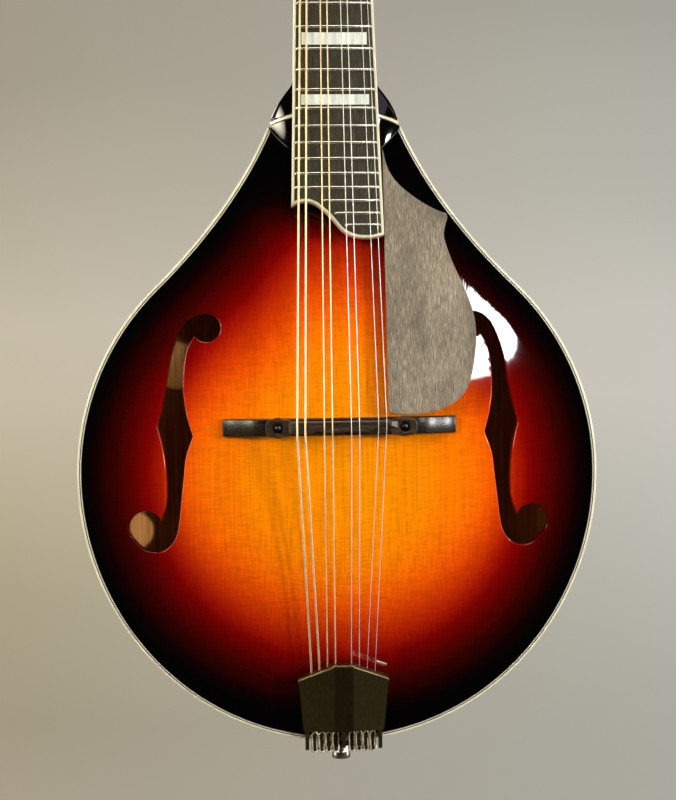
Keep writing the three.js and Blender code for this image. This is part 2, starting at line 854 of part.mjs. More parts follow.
// Headstock outline from the nut up, as shares of its half width and length.
const headShares = [
  [0.5, 0.04], [0.62, 0.09], [0.9, 0.15], [0.98, 0.19], [0.96, 0.3],
  [0.9, 0.55], [0.88, 0.8], [0.93, 0.93], [0.9, 0.975], [0.62, 0.965], [0.32, 0.985], [0, 1],
];

function headPlan(from, shrink) {
  const half = headShares
    .map(([u, v]) => new THREE.Vector2(u * headHalfWidth - shrink, v * headLength - shrink))
    .filter((point) => point.y > from);
  const start = new THREE.Vector2(nutWidth / 2 - shrink, from);
  const right = [start, ...half.slice(0, -1)];
  const left = right.map((point) => new THREE.Vector2(-point.x, point.y)).reverse();
  return [...right, new THREE.Vector2(0, headLength - shrink), ...left];
}

function postPlaces() {
  return Array.from({ length: tunersPerSide }, (_, i) => firstPostRise + i * postSpacing);
}

function postBore(side, rise, low, high) {
  return disc(side * postFromAxis, rise, postRadius + turningGap, low, high, holeSides);
}

function makeNeck() {
  const tallest = boardHeight(heelEndAlong);
  const shaft = toSolid(neckShaft());
  const deep = bodyEndRadius;
  const low = -rimDepth - overrun;
  const bodyRegion = (lead, bottom, top) =>
    bodyToNeck(endArch(lead, -deep, 2 * jointHalfWidth, bottom, top));
  // The heel ends against the ribs; above the plate it ends against the cream strip.
  const belowCap = bodyToNeck(
    block(
      [-bodyRadius, bodyRadius],
      [-2 * scaleLength, scaleLength],
      [low - rimDepth, platformBottom],
    ),
  );
  const lowHeel = shaft
    .subtract(toSolid(bodyRegion(seatGap, low - rimDepth, tallest)))
    .intersect(toSolid(belowCap));
  const upper = shaft.subtract(toSolid(bodyRegion(stripWidth + seatGap, low - rimDepth, tallest)));
  let neck = upper.add(lowHeel);

  // The riser carries the fretboard over the body and clears the carved top.
  const riserStart = -bodyEndDrop + overrun;
  const riserEnd = -bodyEndDrop - riserLength;
  const platformEnd = -platformCentreDrop - platformRadius;
  const riserPlaces = [riserStart, platformEnd, platformEnd - seatGap, riserEnd];
  const riserRings = riserPlaces.map((z, i) => {
    const along = -z / Math.cos(neckTilt);
    const roof = boardHeight(along, neckWoodTop) - Math.sin(neckTilt) * seatGap;
    const floor = i < 2 ? platformTop + seatGap : topHeight(0, z) + carvedGap + seatGap;
    const half = riserHalfWidth;
    return [place(-half, z, roof), place(half, z, roof), place(half, z, floor), place(-half, z, floor)];
  });
  const tenonTop = platformTop + carvedGap;
  const tenon = slab(tenonPlan, -rimDepth + seatGap, tenonTop);
  neck = neck.add(toSolid(bodyToNeck(loft(riserRings)))).add(toSolid(bodyToNeck(tenon)));
  const stripSlot = bodyToNeck(
    endArch(
      stripWidth + seatGap,
      -seatGap,
      heelHalfWidth + overrun,
      platformBottom - seatGap,
      platformTop + seatGap,
    ),
  );
  neck = neck.subtract(toSolid(stripSlot));

  // The headstock is pitched back and lies under its overlay.
  const headWood = slab(headPlan(headStart, 0), -headFaceDrop - headThickness, -headFaceDrop);
  const bluntPitch = (geometry) => geometry.rotateX(-headPitch);
  neck = neck.add(toSolid(bluntPitch(headWood)));
  const postHoles = [];
  for (const side of [-1, 1]) {
    for (const rise of postPlaces()) {
      postHoles.push(bluntPitch(postBore(side, rise, -2 * headThickness, overrun)));
    }
  }
  const channel = block(
    [-rodRadius - seatGap, rodRadius + seatGap],
    [-rodLength + rodNutStart - seatGap, rodNutStart],
    [-rodDrop - rodRadius - seatGap, 0],
  );
  const pocket = block(
    [-rodPocketHalfWidth, rodPocketHalfWidth],
    [rodNutStart - seatGap, rodPocketEnd],
    [-rodDrop - rodPocketHalfWidth, 0],
  );
  for (const cutter of [...postHoles, channel, pocket]) neck = neck.subtract(toSolid(cutter));
  addPiece(neckGroup, "neck", toGeometry(neck), "blackLacquer");

  const overlayPlan = headPlan(overlayStart, seatGap);
  const overlay = slab(overlayPlan, -headFaceDrop + seatGap, -headFaceDrop + seatGap + overlayThickness);
  const overlayHoles = [];
  for (const side of [-1, 1]) {
    for (const rise of postPlaces()) {
      overlayHoles.push(postBore(side, rise, -headThickness, overrun));
    }
  }
  const window = block(
    [-rodPocketHalfWidth, rodPocketHalfWidth],
    [overlayStart + overrun, rodPocketEnd],
    [-headThickness, overrun],
  );
  addPiece(headGroup, "headstock_overlay", build(overlay, [], [...overlayHoles, window]), "ebony");

  // The joint's cream strip runs through the neck, and a rounded black cap lies below it.
  const strip = endArch(stripWidth, 0, stripHalfWidth, platformBottom, platformTop);
  addPiece(root, "joint_binding", strip, "cream");
  const capDisc = disc(0, -platformCentreDrop, platformRadius, platformBottom, platformTop, 40);
  const capSides = [-1, 1].map((side) => {
    const away = side * (platformHalfWidth + platformRadius / 2);
    const edges = [away - platformRadius / 2, away + platformRadius / 2];
    return block(edges, [-scaleLength, 0], [0, topArch]);
  });
  const beyond = endArch(2 * platformRadius, -seatGap, platformRadius + overrun, 0, topArch);
  const tenonClear = slab(inset(tenonPlan, -seatGap), 0, topArch);
  const cap = build(capDisc, [], [...capSides, beyond, tenonClear]);
  addPiece(root, "joint_platform", cap, "blackLacquer");
}

// The board's end is an S: short under the thick strings, long under the thin ones.
const boardEndShares = [
  [-1, 0.88], [-0.88, 0.96], [-0.73, 1], [-0.602, 0.988], [-0.449, 0.907], [-0.292, 0.75],
  [-0.157, 0.587], [-0.028, 0.39], [0.102, 0.209], [0.259, 0.087], [0.435, 0.017],
  [0.616, 0], [0.792, 0.017], [1, 0.076],
];

function boardPlan(shrink) {
  const start = -seatGap;
  const end = boardEndShares.map(([u, v]) => {
    const z = -boardLength + v * endCurveDepth;
    const half = boardHalfWidth(-z) - shrink;
    return new THREE.Vector2(u * half, z + shrink);
  });
  const top = boardHalfWidth(0) - shrink;
  return [new THREE.Vector2(-top, start), ...end, new THREE.Vector2(top, start)];
}

// The end curve's place along the board at a distance across it.
function boardEndAt(x) {
  const plan = boardPlan(boardBindingWidth + seatGap).slice(1, -1);
  for (let i = 1; i < plan.length; i++) {
    const [left, right] = [plan[i - 1], plan[i]];
    if (x <= right.x) {
      const share = Math.max(0, (x - left.x) / (right.x - left.x));
      return left.y + (right.y - left.y) * share;
    }
  }
  return plan.at(-1).y;
}

function makeFretboard() {
  const inner = boardBindingWidth + seatGap;
  const board = slab(boardPlan(inner), -boardThickness, 0);
  const frets = [];
  for (let n = 1; n <= fretCount; n++) {
    const along = fretPlace(n);
    const half = boardHalfWidth(along) - inner;
    let left = -half;
    while (left < half && boardEndAt(left) > -along - fretWidth) left += fretWidth / 4;
    const profile = [
      [-fretWidth / 2, -fretHeight / 2],
      [-fretWidth / 2, fretHeight / 2],
      [0, fretHeight],
      [fretWidth / 2, fretHeight / 2],
      [fretWidth / 2, -fretHeight / 2],
    ];
    const ring = (x) => profile.map(([z, height]) => place(x, z - along, height));
    frets.push(loft([ring(left), ring(half)]));
  }
  addPiece(neckGroup, "fretboard", build(board, frets), "ebony");

  const binding = slab(boardPlan(0), -boardThickness, -boardBindingDrop);
  const openEnd = boardPlan(boardBindingWidth).map(
    (point) => new THREE.Vector2(point.x, point.y < -overrun ? point.y : overrun),
  );
  const hollow = slab(openEnd, -boardThickness - overrun, overrun);
  addPiece(neckGroup, "fretboard_binding", build(binding, [], [hollow]), "cream");

  const nutBody = block([-nutWidth / 2, nutWidth / 2], [0, nutLength], [-boardThickness, nutRise]);
  const slots = nutStringPlaces().map((x) =>
    block(
      [x - nutSlotWidth / 2, x + nutSlotWidth / 2],
      [-overrun, nutLength + overrun],
      [nutRise - nutSlotDepth, nutRise + overrun],
    ),
  );
  addPiece(neckGroup, "nut", build(nutBody, [], slots), "bone");
}

function makeTrussRod() {
  const rod = bar(
    onNeck(0, rodLength - rodNutStart, rodDrop),
    onNeck(0, -rodNutStart + seatGap, rodDrop),
    rodRadius,
    8,
  );
  addPiece(neckGroup, "truss_rod", rod, "steel");
  const nut = bar(
    onNeck(0, -rodNutStart - seatGap, rodDrop),
    onNeck(0, -rodNutStart - rodNutLength, rodDrop),
    rodNutRadius,
    6,
  );
  addPiece(neckGroup, "truss_rod_nut", nut, "brass");

  const coverShares = [[0.8, 0], [1, 0.12], [0.95, 0.4], [0.6, 0.72], [0.35, 0.94], [0, 1]];
  const half = coverShares.map(
    ([u, v]) => new THREE.Vector2(u * coverHalfWidth, coverStart + v * coverLength),
  );
  const mirrored = half.slice(0, -1).map((point) => new THREE.Vector2(-point.x, point.y)).reverse();
  const face = -headFaceDrop + seatGap + overlayThickness + seatGap;
  const cover = slab([...half, ...mirrored], face, face + coverThickness);
  addPiece(headGroup, "truss_rod_cover", cover, "ebony");
}

// A worm of one start turns a wheel of sixteen teeth: sixteen turns of the button to one.
const gearRadius = (gearTeeth * wormPitch) / fullTurn;
const wormOffset = gearRadius + wormRadius + gearClearance;
const headBackDrop = headFaceDrop + headThickness + seatGap;
const wormHeight = -headBackDrop - tunerPlateThickness - wormRise;

function gearWheel(x, rise) {
  const samples = 3;
  const points = [];
  for (let i = 0; i < gearTeeth * samples; i++) {
    const angle = (fullTurn * i) / (gearTeeth * samples);
    const radius = gearRadius + wormThrow * Math.cos(fullTurn * (i / samples));
    points.push(new THREE.Vector2(x - radius * Math.sin(angle), rise - radius * Math.cos(angle)));
  }
  return slab(points, wormHeight - gearThickness / 2, wormHeight + gearThickness / 2);
}

function stringPost(x, rise) {
  const face = -headFaceDrop + seatGap + overlayThickness;
  const profile = [
    [0, wormHeight - gearThickness],
    [postWaistRadius, wormHeight - gearThickness],
    [postRadius, wormHeight],
    [postRadius, face + postHoleRise - 2 * postHoleRadius],
    [postWaistRadius, face + postHoleRise],
    [postWaistRadius, face + postHoleRise + postHoleRadius * 2],
    [postRadius, face + postRise - postHoleRadius],
    [postWaistRadius, face + postRise],
    [0, face + postRise],
  ];
  const lathe = new THREE.LatheGeometry(
    profile.map(([radius, height]) => new THREE.Vector2(radius, height)),
    8,
  );
  lathe.rotateX(Math.PI).translate(x, 0, rise);
  const holeHeight = face + postHoleRise;
  const hole = bar(
    place(x - 2 * postRadius, rise, holeHeight),
    place(x + 2 * postRadius, rise, holeHeight),
    postHoleRadius,
    6,
  );
  return build(lathe, [gearWheel(x, rise)], [hole]);
}

// The worm is a round bar whose middle line winds round the shaft's axis.
function wormAndButton(side, rise) {
  const axisZ = rise - wormOffset;
  const length = wormTurns * wormPitch;
  const start = postFromAxis - length / 2;
  const stepsPerTurn = 5;
  const circle = (x, radius, y, z) =>
    Array.from({ length: wormSides }, (_, k) => {
      const angle = (fullTurn * k) / wormSides;
      return place(
        side * x,
        axisZ + z + radius * Math.cos(angle),
        wormHeight + y + radius * Math.sin(angle),
      );
    });
  const lugReach = lugThickness + 2 * turningGap;
  const rings = [circle(start - lugReach - seatGap, wormShaftRadius, 0, 0)];
  rings.push(circle(start - seatGap, wormShaftRadius, 0, 0));
  const steps = wormTurns * stepsPerTurn;
  for (let i = 0; i <= steps; i++) {
    const turned = (fullTurn * i) / stepsPerTurn + fullTurn * (wormTurns / 2) + Math.PI;
    const across = wormThrow * Math.cos(turned);
    const up = wormThrow * Math.sin(turned) * side;
    rings.push(circle(start + (length * i) / steps, wormRadius, up, across));
  }
  rings.push(circle(start + length + seatGap, wormShaftRadius, 0, 0));
  rings.push(circle(buttonStart + overrun, wormShaftRadius, 0, 0));
  const button = new THREE.SphereGeometry(1, 10, 5);
  button.rotateZ(Math.PI / 2);
  button.scale(buttonLength / 2, buttonHalfDepth, buttonHalfWidth);
  const middle = place(side * (buttonStart + buttonLength / 2), axisZ, wormHeight);
  button.translate(middle.x, middle.y, middle.z);
  return build(loft(rings), [button]);
}

function tunerPlate(side) {
  const rises = postPlaces();
  const bottom = rises[0] - tunerPlateMargin - wormOffset / 2;
  const top = rises.at(-1) + tunerPlateMargin - wormOffset / 2;
  const face = -headBackDrop;
  const back = face - tunerPlateThickness;
  const inner = side * (postFromAxis - tunerPlateWidth / 2);
  const outer = side * (postFromAxis + tunerPlateWidth / 2);
  const across = [Math.min(inner, outer), Math.max(inner, outer)];
  const length = wormTurns * wormPitch;
  const lugs = [];
  const cuts = [];
  for (const rise of rises) {
    const axisZ = rise - wormOffset;
    for (const out of [-1, 1]) {
      const near = side * (postFromAxis + out * (length / 2 + seatGap + turningGap));
      const far = near + side * out * lugThickness;
      const span = [Math.min(near, far), Math.max(near, far)];
      const wide = [axisZ - lugWidth / 2, axisZ + lugWidth / 2];
      lugs.push(block(span, wide, [wormHeight - lugWidth / 2, face]));
    }
    cuts.push(postBore(side, rise, back - overrun, face + overrun));
    cuts.push(
      bar(
        place(inner - side * overrun, axisZ, wormHeight),
        place(outer + side * overrun, axisZ, wormHeight),
        wormShaftRadius + turningGap,
        wormSides,
      ),
    );
  }
  return build(block(across, [bottom, top], [back, face]), lugs, cuts);
}

const courseNames = ["g", "d", "a", "e"];

function pairedPlaces(spread, pairGap) {
  const step = (spread - pairGap) / (courseNames.length - 1);
  return courseNames.flatMap((_, i) => {
    const left = -spread / 2 + i * step;
    return [left, left + pairGap];
  });
}

function nutStringPlaces() {
  return pairedPlaces(nutSpread, nutPairGap);
}

function makeTuners() {
  for (const [side, sideName] of [[-1, "bass"], [1, "treble"]]) {
    addPiece(headGroup, `tuner_plate_${sideName}`, tunerPlate(side), "nickel");
    postPlaces().forEach((rise, i) => {
      const number = i + 1;
      const label = `${sideName}_${number}`;
      addPiece(headGroup, `string_post_${label}`, stringPost(side * postFromAxis, rise), "nickel");
      addPiece(headGroup, `tuner_button_${label}`, wormAndButton(side, rise), "bone");
    });
  }
}

// Strings: hook, tailpiece, saddle, nut and the turns on the post, as one unbroken wire each.
function mirroredPlaces(first, spacing) {
  const half = courseNames.map((_, i) => first + i * spacing);
  return [...half.map((x) => -x).reverse(), ...half];
}

const hookPlaces = mirroredPlaces(hookFirst, hookSpacing);
const entryPlaces = mirroredPlaces(entryFirst, entrySpacing);

function headToBody(point) {
  const pitched = point.clone().applyAxisAngle(new THREE.Vector3(1, 0, 0), -headPitch);
  return neckToBody(pitched);
}

// How far out on a wing of the tailpiece a share of its half width lies.
function wingShare(share) {
  const ridge = tailRidgeHalfWidth / tailFrontHalfWidth;
  return Math.max(0, Math.abs(share) - ridge) / (1 - ridge);
}

function tailEntryAt(x) {
  const sweep = wingShare(x / tailFrontHalfWidth);
  return { z: -tailCoverFront - tailFrontSweep * sweep, height: tailFrontHeight - tailEdgeFall * sweep };
}

function makeStrings() {
  const bridgePlaces = pairedPlaces(bridgeSpread, bridgePairGap);
  const nutPlaces = nutStringPlaces();
  let leastGap = Infinity;
  nutPlaces.forEach((nutX, i) => {
    const course = courseNames[Math.floor(i / 2)];
    const radius = stringDiameters[course] / 2;
    const side = i < tunersPerSide ? -1 : 1;
    const order = side < 0 ? i : 2 * tunersPerSide - 1 - i;
    const rise = postPlaces()[order];
    const hookX = hookPlaces[i];
    const entry = tailEntryAt(entryPlaces[i]);
    const under = radius + seatGap;
    // A loop of core wire goes round the hook's upturned tip and twists into the string.
    const legs = hookWidth / 2 + seatGap + loopWireRadius;
    const tip = -hookEnd - 2 * seatGap - loopWireRadius;
    const tipRoot = -hookEnd + hookWidth + seatGap + loopWireRadius;
    const lower = loopHeight - 2 * loopWireRadius - seatGap / 2;
    const loop = [
      place(hookX + legs / 3, tipRoot + 2 * legs, lower),
      place(hookX + legs, tipRoot + legs / 2, lower),
      place(hookX + legs, tip + legs / 2, (lower + loopHeight) / 2),
      place(hookX, tip, loopHeight),
      place(hookX - legs, tip + legs / 2, loopHeight),
      place(hookX - legs, tipRoot + legs / 2, loopHeight),
      place(hookX, tipRoot + 2 * legs, loopHeight + seatGap / 2),
    ];
    const entryHeight = entry.height - tailHoleDrop;
    const behind = -bridgeDrop - compensations[course];
    const path = [
      place(hookX, -tailCoverRear, loopHeight + seatGap),
      place(entryPlaces[i], entry.z - tailLipLength, entryHeight - seatGap),
      place(entryPlaces[i], entry.z + overrun, entryHeight + seatGap),
      place(bridgePlaces[i], behind - saddleCrestWidth / 2, saddleTop + under),
      place(bridgePlaces[i], behind + saddleCrestWidth / 2, saddleTop + under),
    ];
    const slotFloor = nutRise - nutSlotDepth;
    path.push(neckToBody(place(nutX, 0, slotFloor + under)));
    path.push(neckToBody(place(nutX, nutLength, slotFloor + under)));
    // The wire meets the post on the side of the middle line and winds down towards the face.
    const wound = postRadius + radius + windingGap;
    const face = -headFaceDrop + seatGap + overlayThickness;
    const topHeightOnPost = face + postHoleRise + radius;
    const stepsPerTurn = 6;
    const pitch = 2 * radius + windingGap;
    const winding = [];
    for (let k = 0; k <= windingTurns * stepsPerTurn; k++) {
      const angle = (fullTurn * k) / stepsPerTurn;
      const x = side * (postFromAxis - wound * Math.cos(angle));
      const z = rise + wound * Math.sin(angle);
      const height = topHeightOnPost - (pitch * angle) / fullTurn;
      winding.push(headToBody(place(x, z, height)));
    }
    path.push(...winding);
    for (let a = 0; a < winding.length; a++) {
      for (let b = a + stepsPerTurn / 2; b < winding.length; b++) {
        leastGap = Math.min(leastGap, winding[a].distanceTo(winding[b]) - 2 * radius);
      }
    }
    const name = `string_${course}${(i % 2) + 1}`;
    const finish = i < tunersPerSide ? "bronze" : "steel";
    const radii = [...loop.map(() => loopWireRadius), ...path.map(() => radius)];
    addPiece(root, name, tube([...loop, ...path], radii, 5), finish);
  });
  console.log("least gap between turns on the posts, mm:", leastGap.toFixed(2));
}

// Bridge: a base fitted to the arch, two threaded posts with wheels, and the saddle.
const baseTopShares = [
  [-1, 0], [-0.86, 0.15], [-0.74, 0.57], [-0.66, 1], [0.66, 1], [0.74, 0.57], [0.86, 0.15], [1, 0],
];
const baseFloorShares = [1, 0.8, 0.6, 0.42, 0.3, -0.3, -0.42, -0.6, -0.8, -1];
const baseArchShare = 0.32;

function makeBridge() {
  const floorAt = (share) => {
    const x = share * baseHalfLength;
    const z = -bridgeDrop;
    const near = Math.max(topHeight(x, z - baseWidth / 2), topHeight(x, z + baseWidth / 2));
    return near + carvedGap / 2;
  };
  const roofAt = ([share, levelShare]) => {
    const tip = floorAt(share) + baseTipHeight;
    return tip + (baseTop - tip) * levelShare;
  };
  const top = baseTopShares.map((entry) => new THREE.Vector2(entry[0] * baseHalfLength, -roofAt(entry)));
  const bottom = baseFloorShares.map((share) => {
    const lift = Math.abs(share) <= baseArchShare ? overrun : 0;
    return new THREE.Vector2(share * baseHalfLength, -floorAt(share) - lift);
  });
  const base = new THREE.ExtrudeGeometry(new THREE.Shape([...top, ...bottom]), {
    depth: baseWidth,
    bevelEnabled: false,
  });
  base.translate(0, 0, -bridgeDrop - baseWidth / 2);
  const posts = [-1, 1].map((side) => {
    const x = side * bridgePostFromAxis;
    return disc(x, -bridgeDrop, bridgePostRadius, baseTop - overrun, bridgePostTop, 10);
  });
  addPiece(root, "bridge_base", build(base, posts), "ebony");

  const wheelTop = saddleBottom - seatGap;
  for (const [name, side] of [["thumbwheel_bass", -1], ["thumbwheel_treble", 1]]) {
    const x = side * bridgePostFromAxis;
    const points = [];
    for (let i = 0; i < 2 * wheelTeeth; i++) {
      const angle = (fullTurn * i) / (2 * wheelTeeth);
      const radius = i % 2 ? wheelRadius : wheelRadius - seatGap;
      points.push(new THREE.Vector2(x + radius * Math.cos(angle), radius * Math.sin(angle) - bridgeDrop));
    }
    const wheel = slab(points, wheelTop - wheelThickness, wheelTop);
    const bore = disc(x, -bridgeDrop, bridgePostRadius + turningGap, 0, saddleTop, 12);
    addPiece(root, name, build(wheel, [], [bore]), "brass");
  }
  addPiece(root, "bridge_saddle", saddleGeometry(), "ebony");
}

// The crest steps forward and back so that each course sounds in tune.
function saddleGeometry() {
  const bridgePlaces = pairedPlaces(bridgeSpread, bridgePairGap);
  const beamHalf = saddleHalfLength - saddlePadLength + overrun;
  const profile = [
    [-beamHalf, saddleBottom], [-beamHalf, saddleBeamTop], [beamHalf, saddleBeamTop],
    [beamHalf, saddleBottom],
    [beamHalf / 2, saddleBottom + overrun], [-beamHalf / 2, saddleBottom + overrun],
  ];
  const beam = new THREE.ExtrudeGeometry(
    new THREE.Shape(profile.map(([x, height]) => new THREE.Vector2(x, -height))),
    { depth: saddleCrestWidth + overrun, bevelEnabled: false },
  );
  beam.translate(0, 0, -bridgeDrop - (saddleCrestWidth + overrun) / 2);
  const joins = [];
  courseNames.forEach((course, i) => {
    const left = bridgePlaces[2 * i] - bridgePairGap / 2;
    const right = bridgePlaces[2 * i + 1] + bridgePairGap / 2;
    const z = -bridgeDrop - compensations[course];
    const span = [z - saddleCrestWidth / 2, z + saddleCrestWidth / 2];
    joins.push(block([left, right], span, [saddlePadTop - overrun, saddleTop]));
  });
  const cuts = [];
  for (const side of [-1, 1]) {
    const outer = side * saddleHalfLength;
    const inner = side * (saddleHalfLength - saddlePadLength);
    const span = [Math.min(inner, outer), Math.max(inner, outer)];
    const depth = [-bridgeDrop - saddlePadWidth / 2, -bridgeDrop + saddlePadWidth / 2];
    joins.push(block(span, depth, [saddleBottom, saddlePadTop]));
    const x = side * bridgePostFromAxis;
    const hole = bridgePostRadius + saddleHoleGrowth;
    cuts.push(disc(x, -bridgeDrop, hole, 0, saddleTop + overrun, 12));
  }
  return build(beam, joins, cuts);
}

// Pickguard outline as shares of its width and length, from its tip beside the board.
const guardShares = [
  [0, 0], [0.052, 0.071], [0.138, 0.122], [0.266, 0.164], [0.423, 0.203], [0.582, 0.233],
  [0.703, 0.248], [0.708, 0.265], [0.667, 0.318], [0.682, 0.36], [0.77, 0.444], [0.891, 0.539],
  [0.976, 0.624], [1, 0.706], [0.979, 0.791], [0.917, 0.884], [0.798, 0.944], [0.587, 0.984],
  [0.34, 1], [0.067, 0.997], [0.014, 0.978],
];

function guardPlan() {
  return guardShares.map(
    ([u, v]) => new THREE.Vector2(guardFromAxis + u * guardWidth, -guardStart - v * guardLength),
  );
}

function makePickguard() {
  const face = -guardFaceDrop;
  const plan = guardPlan();
  addPiece(neckGroup, "pickguard", slab(plan, face - guardThickness, face), "ebony");

  // A short pillar stands on the top and carries the guard's outer half.
  const z = -guardPostDrop;
  const roof = boardHeight(-z - guardPostRadius) - guardFaceDrop - guardThickness - seatGap;
  const floor = topHeight(guardPostFromAxis - guardPostRadius, z) + carvedGap / 2;
  const post = disc(guardPostFromAxis, z, guardPostRadius, floor, roof, 12);
  addPiece(root, "pickguard_post", post, "ebony");
}

// Tailpiece: a faceted cast cover with a raised ridge, eight hooks and a foot on the rim.
// Each column has its share of the half width and of the front lip's depth.
const tailColumns = [
  [-1, 0.55], [-0.6, 0.6], [-0.27, 0.64], [-0.215, 1], [0.215, 1], [0.27, 0.64], [0.6, 0.6], [1, 0.55],
];

function makeTailpiece() {
  const rear = -tailCoverRear;
  const rearSpot = (share, drop) => {
    const fall = tailEdgeFall * wingShare(share);
    return place(share * tailRearHalfWidth, rear, tailRearHeight - fall - drop);
  };
  const frontSpot = (share, drop, back = 0) => {
    const entry = tailEntryAt(share * tailFrontHalfWidth);
    return place(share * tailFrontHalfWidth, entry.z - back, entry.height - drop);
  };
  const cover = loft(
    tailColumns.map(([share]) => [
      frontSpot(share, 0),
      rearSpot(share, 0),
      rearSpot(share, tailThickness),
      frontSpot(share, tailThickness),
    ]),
  );
  const lip = loft(
    tailColumns.map(([share, depthShare]) => [
      frontSpot(share, tailThickness / 2),
      frontSpot(share, tailThickness / 2, tailLipLength),
      frontSpot(share, tailLipDepth * depthShare, tailLipLength),
      frontSpot(share, tailLipDepth * depthShare),
    ]),
  );
  const joins = [lip];

  // Below the cover a base plate runs out into hooks whose tips turn up.
  const baseTop = hookTop;
  const baseFloor = hookTop - hookThickness;
  const bed = rear + 2 * overrun;
  const cheekInner = hookFirst + courseNames.length * hookSpacing - hookWidth / 2;
  const cheekSpan = [-cheekInner - cheekThickness / 2, cheekInner + cheekThickness / 2];
  joins.push(block(cheekSpan, [rear, bed + hookSpacing], [baseFloor, baseTop]));
  for (const x of hookPlaces) {
    const wide = [x - hookWidth / 2, x + hookWidth / 2];
    joins.push(block(wide, [-hookEnd, rear + overrun], [baseFloor, baseTop]));
    joins.push(block(wide, [-hookEnd, -hookEnd + hookWidth], [baseFloor, baseTop + hookTipRise]));
  }
  const quad = (x0, x1, z, low, high) => [
    place(x0, z, high),
    place(x1, z, high),
    place(x1, z, low),
    place(x0, z, low),
  ];
  for (const side of [-1, 1]) {
    const [near, far] = [side * cheekInner, side * (cheekInner + cheekThickness)];
    const outerFall = tailEdgeFall * wingShare(cheekInner / tailRearHalfWidth);
    joins.push(
      loft([
        quad(near, far, bed + 2 * hookSpacing, baseFloor, tailRearHeight - outerFall),
        quad(near, far, rear, baseFloor, tailRearHeight - outerFall - tailThickness / 2),
        quad(near, far, -hookEnd, baseFloor, baseTop + hookTipRise / 2),
      ]),
    );
  }
  const wall = [tailEnd - seatGap - bracketThickness, tailEnd - seatGap];
  const footing = [
    [-bracketTopHalfWidth, (baseTop + baseFloor) / 2],
    [bracketTopHalfWidth, (baseTop + baseFloor) / 2],
    [bracketTopHalfWidth, 0],
    [bracketFootHalfWidth, -bracketFoot],
    [-bracketFootHalfWidth, -bracketFoot],
    [-bracketTopHalfWidth, 0],
  ];
  const foot = new THREE.ExtrudeGeometry(
    new THREE.Shape(footing.map(([x, height]) => new THREE.Vector2(x, -height))),
    { depth: bracketThickness, bevelEnabled: false },
  );
  foot.translate(0, 0, wall[0]);
  const tongue = loft([
    quad(-tongueHalf, tongueHalf, bed, baseFloor, tailRearHeight - tailThickness / 2),
    quad(-tongueHalf, tongueHalf, rear, baseFloor, tailRearHeight - tailThickness / 2),
    quad(-tongueHalf / 2, tongueHalf / 2, wall[0], baseFloor, baseTop + hookTipRise / 2),
  ]);
  joins.push(foot, tongue);
  const cuts = entryPlaces.map((x) => {
    const entry = tailEntryAt(x);
    const height = entry.height - tailHoleDrop;
    return bar(
      place(x, entry.z - tailLipLength - overrun, height - seatGap),
      place(x, entry.z + overrun, height + seatGap),
      tailHoleRadius,
      6,
    );
  });
  cuts.push(endPinHole(jackThreadRadius + seatGap));
  addPiece(root, "tailpiece", build(cover, joins, cuts), "pewter");
}

function latheAlong(profile, segments, height) {
  const lathe = new THREE.LatheGeometry(
    profile.map(([radius, z]) => new THREE.Vector2(radius, z)),
    segments,
  );
  return lathe.rotateX(Math.PI / 2).translate(0, -height, 0);
}

function makeElectrics() {
  const plateOut = tailEnd - seatGap - bracketThickness;
  const blockIn = tailEnd + tailBlockLength + ribInset;
  const bodyStart = blockIn + seatGap;
  const mouth = plateOut - seatGap;
  const bottom = mouth + jackBoreLength;
  const jack = latheAlong(
    [
      [jackBoreRadius, mouth],
      [jackThreadRadius, mouth],
      [jackThreadRadius, bodyStart],
      [jackBodyRadius, bodyStart],
      [jackBodyRadius, bodyStart + jackBodyLength],
      [0, bodyStart + jackBodyLength],
      [0, bottom],
      [jackBoreRadius, bottom],
      [jackBoreRadius, mouth],
    ],
    14,
    jackHeight,
  );
  addPiece(root, "end_pin_jack", jack, "nickel");

  const washerEnd = mouth - seatGap - strapWasherThickness;
  const out = washerEnd - strapButtonLength;
  const button = latheAlong(
    [
      [jackBoreRadius, out],
      [strapButtonRadius, out],
      [strapButtonRadius, out + strapButtonLength / 4],
      [strapGrooveRadius, out + strapButtonLength / 3],
      [strapGrooveRadius, washerEnd],
      [strapWasherRadius, washerEnd],
      [strapWasherRadius, mouth - seatGap],
      [jackBoreRadius, mouth - seatGap],
      [jackBoreRadius, out],
    ],
    14,
    jackHeight,
  );
  addPiece(root, "strap_button", button, "nickel");

  const discs = [];
  for (const [name, side] of [["pickup_bass", -1], ["pickup_treble", 1]]) {
    const x = side * pickupFromAxis;
    const z = -bridgeDrop;
    const roof = underTop(x + side * pickupRadius, z + pickupRadius) - carvedGap;
    addPiece(root, name, disc(x, z, pickupRadius, roof - pickupThickness, roof, 16), "brass");
    discs.push(place(x, z, roof - pickupThickness - leadRadius - seatGap));
  }
  const jackIn = place(0, bodyStart + jackBodyLength + seatGap, jackHeight);
  const [bass, treble] = discs;
  const sag = leadRadius * 4;
  const lead = new THREE.CatmullRomCurve3([
    bass,
    place(0, -bridgeDrop - pickupRadius / 2, -bass.y - sag / 2),
    treble,
    place(pickupFromAxis, -bridgeDrop - 3 * pickupRadius, -treble.y - sag),
    place(pickupFromAxis / 2, jackIn.z + 2 * pickupRadius, jackHeight / 2),
    jackIn.clone().add(place(0, pickupRadius, 0)),
    jackIn,
  ]);
  addPiece(root, "pickup_lead", tube(lead.getPoints(20), leadRadius, 5), "cable");
}

const mortise = makeBody();
makeInsides(mortise);
makeNeck();
makeFretboard();
makeTrussRod();
makeTuners();
makeStrings();
makeBridge();
makePickguard();
makeTailpiece();
makeElectrics();

export default root;
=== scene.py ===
"""A carved acoustic-electric mandolin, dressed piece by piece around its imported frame."""
import bisect
import math

import bpy
from mathutils import Matrix, Vector


